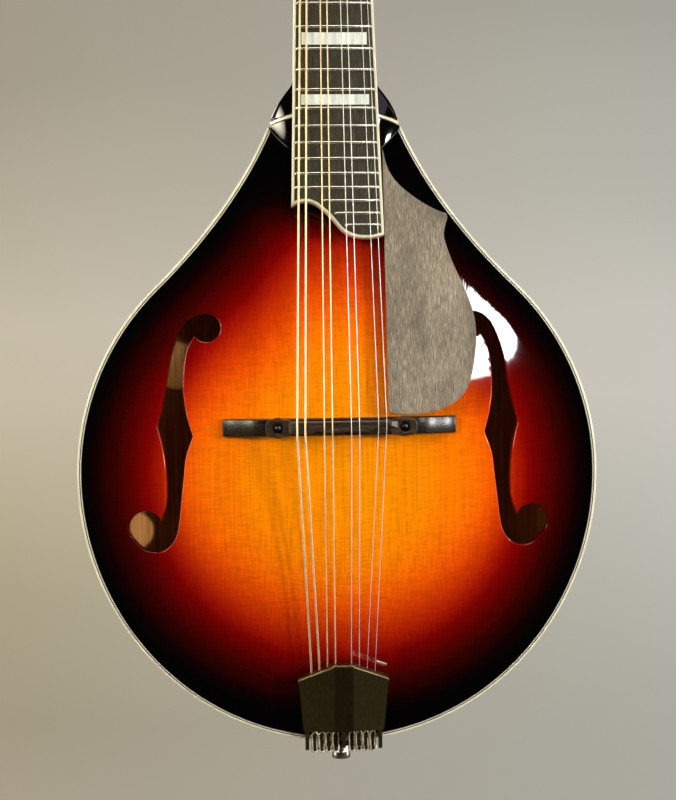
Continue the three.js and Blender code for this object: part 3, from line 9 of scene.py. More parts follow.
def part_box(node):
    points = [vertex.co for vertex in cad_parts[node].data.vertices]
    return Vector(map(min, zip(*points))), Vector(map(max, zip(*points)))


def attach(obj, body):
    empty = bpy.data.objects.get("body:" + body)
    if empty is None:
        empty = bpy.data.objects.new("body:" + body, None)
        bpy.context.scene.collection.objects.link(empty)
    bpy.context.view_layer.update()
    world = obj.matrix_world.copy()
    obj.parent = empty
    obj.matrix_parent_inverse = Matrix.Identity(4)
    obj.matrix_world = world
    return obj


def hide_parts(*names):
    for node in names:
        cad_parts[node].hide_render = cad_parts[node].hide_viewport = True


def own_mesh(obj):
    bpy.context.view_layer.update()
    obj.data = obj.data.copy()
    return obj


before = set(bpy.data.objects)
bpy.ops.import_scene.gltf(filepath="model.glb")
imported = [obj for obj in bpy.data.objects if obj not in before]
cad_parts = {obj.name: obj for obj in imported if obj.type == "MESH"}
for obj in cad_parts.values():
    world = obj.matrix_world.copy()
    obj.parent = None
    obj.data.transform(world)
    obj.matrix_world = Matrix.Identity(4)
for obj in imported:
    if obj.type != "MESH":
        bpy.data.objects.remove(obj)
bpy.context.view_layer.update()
bpy.ops.object.select_all(action="DESELECT")

# The studio: a pale grey-beige sweep a long way behind, a camera just in front, and soft
# lamps far off to the sides, so that the lacquer mirrors a dark room as it does in the photo.
mm = 0.001
photo_lens = 57.555
photo_film = 36.0
bpy.ops.object.camera_add(
    location=(-31.86 * mm, -614.45 * mm, -319.78 * mm),
    rotation=[math.radians(angle) for angle in (88.130, 0.847, -2.999)],
)
camera = bpy.context.object
camera.data.sensor_fit = "VERTICAL"
camera.data.sensor_height = photo_film
camera.data.lens = photo_lens
bpy.context.scene.camera = camera
bpy.context.scene.view_settings.view_transform = "Standard"


def linear(red, green, blue, alpha=1.0):
    """A screen colour of 0 to 255 as the shader's own numbers."""
    channels = []
    for value in (red, green, blue):
        share = value / 255
        channels.append(share / 12.92 if share <= 0.04045 else ((share + 0.055) / 1.055) ** 2.4)
    return (*channels, alpha)


def soft_lamp(name, aim, azimuth, elevation, distance, width, height, watts, tint, spread=180):
    """A softbox that looks at a point of the object from a bearing round it."""
    turn, lift = math.radians(azimuth), math.radians(elevation)
    away = Vector((math.sin(turn) * math.cos(lift), -math.cos(turn) * math.cos(lift), math.sin(lift)))
    bpy.ops.object.light_add(type="AREA", location=Vector(aim) + away * distance)
    lamp = bpy.context.object
    lamp.name = name
    lamp.rotation_euler = away.to_track_quat("Z", "Y").to_euler()
    lamp.data.shape = "RECTANGLE"
    lamp.data.size, lamp.data.size_y = width, height
    lamp.data.energy = watts
    lamp.data.color = linear(*tint)[:3]
    lamp.data.spread = math.radians(spread)


body_middle = (0, -10 * mm, -360 * mm)
soft_lamp("lamp_left", body_middle, -86, 1, 1.35, 0.6, 1.5, 10, (255, 246, 232))
soft_lamp("lamp_right", body_middle, 86, 1, 1.35, 0.6, 1.5, 10, (255, 248, 238))
soft_lamp("lamp_top", body_middle, 0, 76, 1.5, 1.2, 0.7, 12, (255, 252, 248))
soft_lamp("lamp_back", body_middle, 180, 30, 2.0, 1.2, 1.2, 16, (255, 250, 242))
neck_joint = (-23 * mm, -9 * mm, -207 * mm)
f_hole_shoulder = (78 * mm, -5 * mm, -305 * mm)
soft_lamp("window_left", neck_joint, -41, 13, 1.3, 0.62, 0.56, 0.6, (255, 246, 216), 24)
soft_lamp("window_right", f_hole_shoulder, 23.3, 10.8, 2.5, 0.288, 0.245, 10, (255, 252, 248))
soft_lamp("lamp_key", body_middle, 49, 4, 2.2, 0.2, 0.2, 26, (255, 251, 244))
soft_lamp("lamp_haze", body_middle, 34, 32, 2.0, 1.0, 0.9, 3, (232, 226, 255))

room = bpy.context.scene.world or bpy.data.worlds.new("room")
bpy.context.scene.world = room
room.use_nodes = True
room.node_tree.nodes["Background"].inputs["Color"].default_value = linear(34, 33, 32)
room.node_tree.nodes["Background"].inputs["Strength"].default_value = 1.0


def feed(node, **entries):
    """Fills a node's sockets, each with a plain value or with another node's output."""
    for name, value in entries.items():
        entry = node.inputs[name.replace("_", " ")]
        if isinstance(value, bpy.types.NodeSocket):
            node.id_data.links.new(value, entry)
        else:
            entry.default_value = value


def add_node(tree, kind, *feeds, **settings):
    """A shader node; feeds fill its first sockets in order, names with a capital its other ones."""
    node = tree.nodes.new("ShaderNode" + kind)
    for name, value in settings.items():
        if name[0].islower():
            setattr(node, name, value)
    for entry, value in zip(node.inputs, feeds):
        if isinstance(value, bpy.types.NodeSocket):
            tree.links.new(value, entry)
        else:
            entry.default_value = value
    feed(node, **{name: value for name, value in settings.items() if name[0].isupper()})
    return node


def calculated(tree, operation, first, second):
    return add_node(tree, "Math", first, second, operation=operation).outputs["Value"]


def ranged(tree, level, low, high, lowest=0.0, highest=1.0):
    """A level stretched from one range to another."""
    return add_node(tree, "MapRange", level, low, high, lowest, highest).outputs["Result"]


def noise(tree, spots, scale=1.0, **settings):
    return add_node(tree, "TexNoise", Vector=spots, Scale=scale, **settings).outputs["Fac"]


def coloured(tree, level, stops):
    """A level's colours, from pairs of place and screen colour."""
    node = add_node(tree, "ValToRGB", level)
    ramp = node.color_ramp
    while len(ramp.elements) < len(stops):
        ramp.elements.new(0.5)
    for element, (place_share, colour) in zip(ramp.elements, stops):
        element.position = place_share
        element.color = linear(*colour)
    return node.outputs["Color"]


def new_finish(name, **entries):
    """A finish, its node tree and its main shader with that shader's sockets filled."""
    finish = bpy.data.materials.new(name)
    finish.use_nodes = True
    shader = finish.node_tree.nodes["Principled BSDF"]
    feed(shader, **entries)
    return finish, finish.node_tree, shader


sweep_wall_y = 2.2
sweep_floor_z = -2.0
sweep_bend = 0.6
sweep_half_width = 5.0
sweep_front_y = -2.5
floor_rows = 4
bend_rows = 16
wall_row_height = 0.9
bpy.ops.mesh.primitive_grid_add(x_subdivisions=2, y_subdivisions=24, size=1)
sweep = bpy.context.object
sweep.name = "studio_sweep"
for index, corner in enumerate(sweep.data.vertices):
    across = (index % 3 - 1) * sweep_half_width
    step = index // 3
    if step < floor_rows:
        depth = sweep_wall_y - sweep_bend - sweep_front_y
        corner.co = (across, sweep_front_y + depth * step / floor_rows, sweep_floor_z)
    elif step <= floor_rows + bend_rows:
        bend = math.radians(90) * (step - floor_rows) / bend_rows
        corner.co = (
            across,
            sweep_wall_y - sweep_bend + sweep_bend * math.sin(bend),
            sweep_floor_z + sweep_bend - sweep_bend * math.cos(bend),
        )
    else:
        rise = (step - floor_rows - bend_rows) * wall_row_height
        corner.co = (across, sweep_wall_y, sweep_floor_z + sweep_bend + rise)
bpy.ops.object.shade_smooth()
backdrop, tree, wall_paint = new_finish(
    "painted_backdrop", Base_Color=linear(120, 115, 105), Roughness=0.9
)
wall_place = add_node(tree, "TexCoord").outputs["Object"]
wall_axes = add_node(tree, "SeparateXYZ", wall_place).outputs
wall_cloud = noise(tree, wall_place, 1.1, Detail=1.0, Roughness=0.4)
wall_sum = calculated(
    tree, "ADD", ranged(tree, wall_axes["Z"], -1.27, 0.45), ranged(tree, wall_cloud, 0.3, 0.7, -0.03, 0.03)
)
# The sweep's seen colour is painted with a pool of light: brightest in a band at the object's height, darker
# above and below. It also drifts from warmer on the left to cooler on the right.
warm_side = coloured(tree, wall_sum, [
    (0.0, (168, 158, 138)), (0.1, (163, 153, 130)), (0.25, (172, 162, 135)), (0.38, (186, 176, 148)),
    (0.5, (198, 187, 164)), (0.6, (199, 189, 168)), (0.75, (182, 173, 153)), (0.9, (166, 157, 139)),
    (1.0, (164, 155, 138)),
])
cool_side = coloured(tree, wall_sum, [
    (0.0, (169, 169, 159)), (0.1, (174, 172, 162)), (0.25, (182, 181, 171)), (0.38, (191, 189, 180)),
    (0.5, (202, 197, 188)), (0.6, (200, 196, 187)), (0.75, (184, 182, 172)), (0.9, (177, 175, 165)),
    (1.0, (167, 165, 155)),
])
wall_mix = add_node(
    tree, "Mix", data_type="RGBA", Factor=ranged(tree, wall_axes["X"], -0.6, 0.85), A=warm_side, B=cool_side
)
wall_glow = add_node(tree, "Emission", Color=wall_mix.outputs["Result"], Strength=1.0)
wall_seen = add_node(tree, "LightPath").outputs
wall_shown = calculated(tree, "MAXIMUM", wall_seen["Is Camera Ray"], wall_seen["Is Glossy Ray"])
wall_through = calculated(tree, "MAXIMUM", wall_shown, wall_seen["Is Transmission Ray"])
wall_share = calculated(tree, "MULTIPLY", wall_through, ranged(tree, wall_axes["Z"], -1.8, -1.4))
wall_blend = add_node(
    tree, "MixShader", wall_share, wall_paint.outputs["BSDF"], wall_glow.outputs["Emission"]
)
feed(tree.nodes["Material Output"], Surface=wall_blend.outputs["Shader"])
sweep.data.materials.append(backdrop)

# The body's outline: a round body whose shoulders sweep up to the neck. Ribs, linings,
# plates and bindings are all bent or sawn to it, each drawn in from it by its own distance.
body_radius = 124.6
body_centre_drop = 374.7
tail_extra = 4.9
shoulder_leave = math.radians(46)
joint_half_width = 31.5
joint_slope = math.radians(24)
body_end_drop = 203.9
body_end_radius = 89
end_steps = 10
shoulder_steps = 22
round_steps = 60


def place(x, z, height):
    """Across, up the neck and out of the front, in millimetres, as a point of the scene."""
    return Vector((x, -height, z)) * mm


def body_end_at(x):
    return -body_end_drop - body_end_radius + math.sqrt(body_end_radius**2 - x**2)


def body_outline():
    half = []
    for step in range(end_steps + 1):
        x = joint_half_width * step / end_steps
        half.append(Vector((x, body_end_at(x))))
    corner = half[-1]
    leave = Vector(
        (
            body_radius * math.cos(shoulder_leave),
            body_radius * math.sin(shoulder_leave) - body_centre_drop,
        )
    )
    round_slope = Vector((-math.sin(shoulder_leave), math.cos(shoulder_leave)))
    corner_slope = Vector((math.sin(joint_slope), -math.cos(joint_slope)))
    apart = corner - leave
    reach = apart.cross(corner_slope) / round_slope.cross(corner_slope)
    control = leave + round_slope * reach
    for step in range(1, shoulder_steps + 1):
        share = step / shoulder_steps
        near = corner.lerp(control, share)
        half.append(near.lerp(control.lerp(leave, share), share))
    for step in range(1, round_steps + 1):
        angle = shoulder_leave - (shoulder_leave + math.pi / 2) * step / round_steps
        tall = body_radius + tail_extra if angle < 0 else body_radius
        half.append(Vector((body_radius * math.cos(angle), tall * math.sin(angle) - body_centre_drop)))
    left = [Vector((-point.x, point.y)) for point in half[1:-1]]
    return half + left[::-1]


def inset(points, distance, closed=True):
    """An outline drawn inwards, point for point."""
    drawn = []
    last = len(points) - 1
    for index, point in enumerate(points):
        before = points[index - 1] if closed or index > 0 else points[index]
        after = points[(index + 1) % len(points)] if closed or index < last else points[index]
        arriving = (point - before).normalized() if before is not point else None
        leaving = (after - point).normalized() if after is not point else None
        arriving = arriving or leaving
        leaving = leaving or arriving
        inward = Vector((arriving.y + leaving.y, -arriving.x - leaving.x)).normalized()
        across = Vector((arriving.y, -arriving.x))
        drawn.append(point + inward * (distance / inward.dot(across)))
    return drawn


outline = body_outline()
tail_end = -body_centre_drop - body_radius - tail_extra


def edit(piece):
    """Opens one piece alone in edit mode, all of it selected."""
    bpy.ops.object.select_all(action="DESELECT")
    bpy.context.view_layer.objects.active = piece
    piece.select_set(True)
    bpy.ops.object.mode_set(mode="EDIT")
    bpy.ops.mesh.select_all(action="SELECT")


def close_edit():
    bpy.ops.object.mode_set(mode="OBJECT")


def skin(name, rings, ring_closed=True, chain_closed=False, capped=True):
    """A grid laid over rings of equally many points, sewn up and capped where it is open."""
    columns = len(rings[0]) if ring_closed else len(rings[0]) - 1
    rows = len(rings) if chain_closed else len(rings) - 1
    bpy.ops.object.select_all(action="DESELECT")
    bpy.ops.mesh.primitive_grid_add(x_subdivisions=columns, y_subdivisions=rows, size=1)
    piece = bpy.context.object
    piece.name = piece.data.name = name
    flat = []
    for row in range(rows + 1):
        ring = rings[row % len(rings)]
        for column in range(columns + 1):
            flat.extend(ring[column % len(ring)])
    piece.data.vertices.foreach_set("co", flat)
    edit(piece)
    bpy.ops.mesh.remove_doubles(threshold=0.2 * mm * mm)
    if capped:
        bpy.ops.mesh.select_non_manifold(
            extend=False, use_wire=False, use_multi_face=False, use_non_contiguous=False, use_verts=False
        )
        bpy.ops.mesh.fill_holes(sides=0)
    bpy.ops.mesh.select_all(action="SELECT")
    bpy.ops.mesh.normals_make_consistent(inside=False)
    close_edit()
    return piece


def apply_modifier(piece, kind, **settings):
    bpy.ops.object.select_all(action="DESELECT")
    bpy.context.view_layer.objects.active = piece
    piece.select_set(True)
    modifier = piece.modifiers.new(kind.lower(), kind)
    for name, value in settings.items():
        setattr(modifier, name, value)
    bpy.ops.object.modifier_apply(modifier=modifier.name)


def cut(piece, *cutters, operation="DIFFERENCE"):
    """Takes each cutter's shape from the piece, or joins it on, and clears the cutter away."""
    for cutter in cutters:
        apply_modifier(piece, "BOOLEAN", object=cutter, operation=operation, solver="EXACT")
        bpy.data.objects.remove(cutter, do_unlink=True)


def smooth(piece, angle=32):
    bpy.ops.object.select_all(action="DESELECT")
    bpy.context.view_layer.objects.active = piece
    piece.select_set(True)
    bpy.ops.object.shade_smooth_by_angle(angle=math.radians(angle))


def round_edges(piece, width, segments=2, angle=30):
    """Breaks the sharp edges and keeps the flats flat under smooth shading."""
    apply_modifier(
        piece, "BEVEL", width=width * mm, segments=segments, limit_method="ANGLE",
        angle_limit=math.radians(angle), miter_outer="MITER_ARC",
    )
    smooth(piece, angle + 8)
    apply_modifier(piece, "WEIGHTED_NORMAL", keep_sharp=True)


def ring_of(at, radius, sides, tall=None):
    """Points round an axis, from a function of how far each is across it and up."""
    tall = radius if tall is None else tall
    turns = [math.tau * k / sides for k in range(sides)]
    return [at(radius * math.cos(turn), tall * math.sin(turn)) for turn in turns]


def slab(name, points, low, high, spot=place):
    """A flat outline with thickness between two heights."""
    rings = [[spot(point[0], point[1], height) for point in points] for height in (low, high)]
    return skin(name, rings)


def circle_points(x, z, radius, sides):
    return ring_of(lambda u, v: Vector((x + u, z + v)), radius, sides)


def disc(name, x, z, radius, low, high, sides=32, spot=place):
    return slab(name, circle_points(x, z, radius, sides), low, high, spot)


def dress(piece, *finishes):
    piece.data.materials.clear()
    for finish in finishes:
        piece.data.materials.append(finish)


def seat(piece, body, slot, *nodes):
    """Says which body carries the piece and which nodes it stands for; its slot is not used."""
    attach(piece, body)
    if nodes:
        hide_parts(*nodes)


def complete(piece, finish, angle, body, slot, *nodes):
    """Dresses, smooths and seats a piece that has one finish."""
    dress(piece, finish)
    smooth(piece, angle)
    seat(piece, body, slot, *nodes)


def grained_wood(name, colours, along, spacing, contrast, roughness, coat=0.0, burst_and_shade=False,
                 flame_and_sheen=0.0, flame_and_sheen_span=(60, 60, 7), silk=0.0, ripple=0.0, run=90):
    """Wood whose grain runs along one axis, bare or under lacquer.

    colours are stops of the sunburst where the wood has one, and else of the grain itself. The wide bands are
    the flame of curled maple, and on the pickguard broad clouds of painted sheen; silk is the fine rays
    across spruce.
    """
    finish, tree, shader = new_finish(
        name, Roughness=roughness, Specular_IOR_Level=0.0 if coat else 0.4, Coat_Weight=coat,
        Coat_Roughness=0.035,
    )
    spots = add_node(tree, "TexCoord").outputs["Object"]

    def stretched(spans):
        return add_node(tree, "Mapping", spots, Scale=[1 / (span * mm) for span in spans]).outputs["Vector"]

    spans = [spacing] * 3
    for axis in along if isinstance(along, tuple) else (along,):
        spans[axis] = run * spacing
    fibres = noise(tree, stretched(spans), Detail=4.0, Roughness=0.62)
    level = add_node(tree, "Attribute", attribute_name="burst_and_shade").outputs["Fac"] if burst_and_shade else fibres
    shade = ranged(tree, fibres, 0.3, 0.7, 1 - contrast, 1 + contrast)
    for strength, bands, waver in ((flame_and_sheen, flame_and_sheen_span, 0.6), (silk, (7, 7, 0.8), 0.2)):
        if strength:
            curl = noise(tree, stretched(bands), Detail=2.0, Distortion=waver)
            glow = ranged(tree, curl, 0.35, 0.65, 1 - strength, 1 + strength)
            shade = calculated(tree, "MULTIPLY", shade, glow)
    base = coloured(tree, level, colours)
    tinted = add_node(tree, "VectorMath", base, operation="SCALE", Scale=shade)
    feed(shader, Base_Color=tinted.outputs["Vector"])
    if ripple:
        waves = noise(tree, stretched((7, 7, 60)), Detail=5.0, Roughness=0.6)
        film = add_node(tree, "Bump", Strength=1.0, Distance=ripple * mm, Height=waves).outputs["Normal"]
        feed(shader, Coat_Normal=film, Normal=film)
    else:
        pores = add_node(tree, "Bump", Strength=0.5, Distance=0.08 * mm, Height=fibres)
        feed(shader, Normal=pores.outputs["Normal"])
    return finish


bare_maple = grained_wood(
    "bare_maple", [(0.3, (176, 112, 58)), (0.5, (198, 140, 80)), (0.7, (214, 162, 102))],
    along=2, spacing=1.6, contrast=0.08, roughness=0.62,
)
bare_spruce = grained_wood(
    "bare_spruce", [(0.3, (190, 146, 90)), (0.5, (214, 174, 116)), (0.7, (228, 194, 140))],
    along=2, spacing=1.1, contrast=0.1, roughness=0.66,
)

# The ribs: two strips of flamed maple, 2.2 mm thick, bent to the outline and stained dark
# red-brown under gloss lacquer. They meet at the tail, where the end pin passes between them.
rib_inset = 0.4
rib_thickness = 2.2
rim_depth = 38
seat_gap = 0.3
rib_end_half_gap = 16
jack_height = -18.5
pin_hole_radius = 5.0

stained_maple = grained_wood(
    "stained_maple", [(0.3, (64, 14, 5)), (0.5, (92, 24, 8)), (0.7, (118, 38, 14))],
    along=(0, 2), spacing=1.4, contrast=0.1, roughness=0.4, coat=1.0, flame_and_sheen=0.3, flame_and_sheen_span=(6, 70, 6),
    ripple=0.05,
)


def pin_hole(radius, inner_reach=26):
    """A round bar along the end pin's axis, to cut with."""
    rings = [
        ring_of(lambda u, v: place(u, z, jack_height + v), radius, 32)
        for z in (tail_end - 12, tail_end + inner_reach)
    ]
    return skin("pin_hole", rings)


half_count = len(outline) // 2 + 1
for rib_name, side in (("rim_treble", 1), ("rim_bass", -1)):
    treble_half = outline[:half_count]
    rib_outer = inset(treble_half, rib_inset, closed=False)
    rib_inner = inset(treble_half, rib_inset + rib_thickness, closed=False)
    rings = []
    for outer, inner in zip(rib_outer, rib_inner):
        if outer.x < rib_end_half_gap and outer.y > -body_centre_drop:
            continue
        wall = [(outer, -seat_gap), (outer, -rim_depth), (inner, -rim_depth), (inner, -seat_gap)]
        rings.append([place(side * max(p.x, seat_gap / 4), p.y, height) for p, height in wall])
    rib = skin(rib_name, rings)
    dress(rib, stained_maple, bare_maple)
    for face in rib.data.polygons:
        towards = Vector((face.center.x, 0, face.center.z + body_centre_drop * mm))
        face.material_index = 1 if towards.dot(face.normal) < 0 and abs(face.normal.y) < 0.5 else 0
    cut(rib, pin_hole(pin_hole_radius))
    smooth(rib)
    seat(rib, "root", "body_lacquer", rib_name)
    rib.name = rib_name + "_bent"

# The carved plates: a spruce top and a maple back, each planed to a low recurve round the
# edge and an arch in the middle. The f-holes are sawn through the top and their edges eased.
plate_edge = 4.5
recurve_height = 3.6
top_arch = 16
back_arch = 14.5
arch_power = 1.4
recurve_share = 0.93
plate_thickness = 4.4
plate_inset = 2.23
body_centre = Vector((0, -body_centre_drop))
plate_outline = inset(outline, plate_inset)


def arms_of(points, spread):
    """Angles and reaches of an outline about the body's centre, eased over a few neighbours."""
    reaches = [(p - body_centre).length for p in points]
    count = len(points)
    arms = []
    for index, point in enumerate(points):
        ray = point - body_centre
        near = [reaches[(index + k) % count] for k in range(-spread, spread + 1)]
        arms.append((math.atan2(ray.x, ray.y), sum(near) / len(near)))
    arms.sort()
    arms = [(arms[-1][0] - math.tau, arms[-1][1]), *arms, (arms[0][0] + math.tau, arms[0][1])]
    return [angle for angle, _ in arms], [reach for _, reach in arms]


rim_arms = arms_of(plate_outline, 0)
dome_arms = arms_of(plate_outline, 9)


def share_of(x, z, arms):
    """How far a place lies from the centre, as a share of the way to the plate's edge."""
    ray = Vector((x, z)) - body_centre
    angle = math.atan2(ray.x, ray.y)
    angles, reaches = arms
    after = min(max(bisect.bisect(angles, angle), 1), len(angles) - 1)
    before = after - 1
    span = angles[after] - angles[before]
    way = (angle - angles[before]) / span if span else 0
    return ray.length / (reaches[before] + (reaches[after] - reaches[before]) * way)


def outer_height(x, z, arch):
    rim_share = share_of(x, z, rim_arms)
    dome_share = min(share_of(x, z, dome_arms), rim_share * 1.04) / recurve_share
    height = recurve_height
    if dome_share < 1:
        height += (arch - recurve_height) * (1 - dome_share**2) ** arch_power
    if rim_share > recurve_share:
        lip = (rim_share - recurve_share) / (1 - recurve_share)
        height += (plate_edge - recurve_height) * min(lip, 1) ** 1.6
    return height


def inner_height(x, z, arch):
    if share_of(x, z, rim_arms) >= recurve_share:
        return 0
    return max(0, outer_height(x, z, arch) - plate_thickness)


def top_height(x, z):
    return outer_height(x, z, top_arch)


def flat_plate(name, level, facing):
    """The plate as a flat blank, to be sawn before its faces are carved."""
    shares = [0, 0.012, 0.03, 0.055] + [0.085 + 0.0305 * k for k in range(28)] + [0.955, 0.97, 0.985, 1]
    rings = []
    for height, row in ((1, shares), (0, shares[::-1])):
        for share in row:
            ring = []
            for point in plate_outline:
                spot = body_centre.lerp(point, share)
                ring.append(place(spot.x, spot.y, level + facing * height * plate_thickness))
            rings.append(ring)
    return skin(name, rings, capped=False)


shade_centre = Vector((-6, -210))
shade_reach = 34
shade_fade = 23
burst_end = 0.985
upright_gain = 0.055
flank_lift = 0.075
flank_middle = 0.56
flank_spread = 0.14


def burst_and_shade_share(x, z):
    """How dark the sunburst is at a place: wide across the body, and pushed to black around the neck, partly
    the stain and partly painted shadow of the fingerboard and its riser.
    """
    ray = Vector((x, z)) - body_centre
    upright = ray.y**2 / max(1, ray.length_squared)
    share = share_of(x, z, dome_arms) * (1 + upright_gain * upright)
    in_flank = max(0, 1 - ((share - flank_middle) / flank_spread) ** 2)
    share -= flank_lift * (1 - upright) ** 2 * in_flank
    apart = (Vector((x, z)) - shade_centre).length
    # Near the neck joint the level is pushed towards black: partly the stain's dark edge, partly painted
    # shadow cast by the fingerboard and its riser.
    painted_neck_shadow = min(1, max(0, (shade_reach + shade_fade - apart) / shade_fade)) ** 1.5
    return share + max(0, burst_end - share) * painted_neck_shadow


def carve(plate, arch, level, facing):
    """Gives the flat blank its arch and writes at each point how far out it lies, deepened near the neck by
    painted shadow.
    """
    burst_and_shade = plate.data.attributes.new("burst_and_shade", "FLOAT", "POINT")
    for vertex, entry in zip(plate.data.vertices, burst_and_shade.data):
        x, z = vertex.co.x / mm, vertex.co.z / mm
        share = facing * (-vertex.co.y / mm - level) / plate_thickness
        low = inner_height(x, z, arch)
        high = outer_height(x, z, arch)
        vertex.co.y = -(level + facing * (low + (high - low) * share)) * mm
        entry.value = burst_and_shade_share(x, z)
    plate.data.update()


def spline(before, here, after, beyond, t):
    """A point of the smooth curve that passes through here and after."""
    return 0.5 * (
        2 * here + (after - before) * t
        + (2 * before - 5 * here + 4 * after - beyond) * t**2
        + (3 * here - before - 3 * after + beyond) * t**3
    )


def flow_through(points, steps, corners=()):
    """A smooth open curve through points, sharp only at its corners."""
    points = [Vector(point) for point in points]
    last = len(points) - 1
    flow = []
    for index in range(last):
        here, after = points[index], points[index + 1]
        before = here if index == 0 or index in corners else points[index - 1]
        beyond = after if index + 1 == last or index + 1 in corners else points[index + 2]
        flow += [spline(before, here, after, beyond, step / steps) for step in range(steps)]
    return [*flow, points[last]]


def flow_round(points, steps, corners):
    """A smooth closed outline through points, sharp only at its corners."""
    first = corners[0]
    turned = points[first:] + points[:first]
    places = [(corner - first) % len(points) for corner in corners]
    return flow_through([*turned, turned[0]], steps, places)[:-1]


def arc_round(centre, start, end, turning, sides):
    """Points of a circle between two of its places, turning one way, both ends left out."""
    begin = math.atan2(start.y - centre.y, start.x - centre.x)
    finish = math.atan2(end.y - centre.y, end.x - centre.x)
    radius = (start - centre).length
    sweep = (finish - begin) * turning % math.tau
    count = max(2, round(sides * sweep / math.tau))
    return [
        centre + radius * Vector((math.cos(begin + turning * sweep * k / count),
                                  math.sin(begin + turning * sweep * k / count)))
        for k in range(1, count)
    ]


f_hole_width = 30
f_hole_length = 94.6
f_hole_from_axis = 62.2
f_hole_drop = 304.6
upper_eye_radius = 6.7
lower_eye_radius = 8.1
eased_radius = 0.55
f_outer_shares = [
    (0.223, -0.055), (0.38, -0.006), (0.493, 0.073), (0.577, 0.168), (0.633, 0.274),
    (0.713, 0.395), (0.793, 0.49), (0.713, 0.591), (0.673, 0.691), (0.66, 0.797), (0.673, 0.876),
]
f_outer_nick = 7
f_inner_shares = [
    (1.04, 1.108), (0.867, 1.121), (0.73, 1.113), (0.61, 1.084), (0.525, 1.04), (0.478, 0.975),
    (0.437, 0.866), (0.39, 0.744), (0.347, 0.638), (0.233, 0.54), (0.307, 0.464), (0.357, 0.385),
    (0.38, 0.29), (0.367, 0.189), (0.313, 0.105),
]
f_inner_nick = 10


def f_hole_outline(side):
    """Round the upper eye, down the outer curve, round the lower eye and back up."""
    upper = Vector((side * f_hole_from_axis, -f_hole_drop))
    lower = upper + Vector((side * f_hole_width, -f_hole_length))

    def spots(shares):
        return [Vector((upper.x + side * u * f_hole_width, upper.y - v * f_hole_length)) for u, v in shares]

    def on_upper(u, v):
        return upper + Vector((side * u, v)).normalized() * upper_eye_radius

    def on_lower(u, v):
        return lower + Vector((side * u, v)).normalized() * lower_eye_radius

    outer = flow_through([on_upper(0, 1), *spots(f_outer_shares), on_lower(-0.9, 0.44)], 4, (f_outer_nick,))
    inner = [on_lower(0.72, -0.69), *spots(f_inner_shares), on_upper(0.87, -0.5)]
    inner = flow_through(inner, 4, (f_inner_nick,))
    lower_arc = arc_round(lower, outer[-1], inner[0], -side, 36)
    upper_arc = arc_round(upper, inner[-1], outer[0], -side, 30)
    return outer + lower_arc + inner + upper_arc


def signed_area(points):
    return sum(
        points[i - 1][0] * points[i][1] - points[i][0] * points[i - 1][1] for i in range(len(points))
    )


def eased_cutter(points, low, high):
    """A saw cut whose mouth at the upper face flares in a quarter round."""
    if signed_area(points) > 0:
        points = points[::-1]
    levels = [(low - 2, 0), (high - eased_radius, 0)]
    for step in range(1, 5):
        turn = math.radians(90) * step / 4
        flare = eased_radius * (1 - math.cos(turn))
        levels.append((high - eased_radius + eased_radius * math.sin(turn), flare))
    levels[-1] = (high + 0.02, eased_radius)
    levels.append((high + 3, eased_radius))
    rings = [[place(p.x, p.y, height) for p in inset(points, -grow)] for height, grow in levels]
    return skin("saw_cut", rings)


top_burst = [
    (0.0, (255, 152, 3)), (0.2, (255, 147, 2)), (0.36, (252, 136, 2)), (0.44, (248, 116, 2)),
    (0.505, (238, 94, 3)), (0.57, (214, 68, 2)), (0.635, (186, 44, 2)), (0.69, (160, 23, 2)),
    (0.745, (120, 2, 1)), (0.8, (88, 1, 0)), (0.87, (50, 1, 0)), (0.94, (17, 0, 0)), (0.985, (2, 1, 1)),
]
carved_spruce = grained_wood(
    "carved_spruce", top_burst, along=2, spacing=0.8, contrast=0.17, roughness=0.5, coat=1.0,
    burst_and_shade=True, silk=0.09, ripple=0.035,
)
top = flat_plate("carved_top", 0, 1)
dress(top, carved_spruce, bare_spruce)
for face in top.data.polygons:
    face.material_index = 1 if face.normal.y > 0.5 else 0
for side in (1, -1):
    cut(top, eased_cutter(f_hole_outline(side), 0, plate_thickness))
tenon_half_width = 9.5
tenon_tail_half_width = 12.5
tenon_length = 17
overrun = 2
tenon_plan = [
    Vector((-tenon_half_width, -body_end_drop + overrun)),
    Vector((tenon_half_width, -body_end_drop + overrun)),
    Vector((tenon_tail_half_width, -body_end_drop - tenon_length)),
    Vector((-tenon_tail_half_width, -body_end_drop - tenon_length)),
]
cut(top, slab("mortise", inset(tenon_plan, -seat_gap), -overrun, plate_thickness + overrun))
carve(top, top_arch, 0, 1)
smooth(top, 34)
apply_modifier(top, "WEIGHTED_NORMAL", keep_sharp=True)
seat(top, "root", "top_lacquer", "top_plate")

for name, x, z, spread, watts in (
    ("through_stroke", -80, -322, 42, 0.009), ("through_eye", -103, -406, 36, 0.023),
):
    bpy.ops.object.light_add(type="SPOT", location=place(x, z, -6), rotation=(math.radians(90), 0, 0))
    beam = bpy.context.object
    beam.name = name
    beam.data.energy = watts
    beam.data.spot_size = math.radians(spread)
    beam.data.spot_blend = 0.3
    beam.data.shadow_soft_size = 0.5 * mm
    beam.data.color = linear(255, 240, 200)[:3]

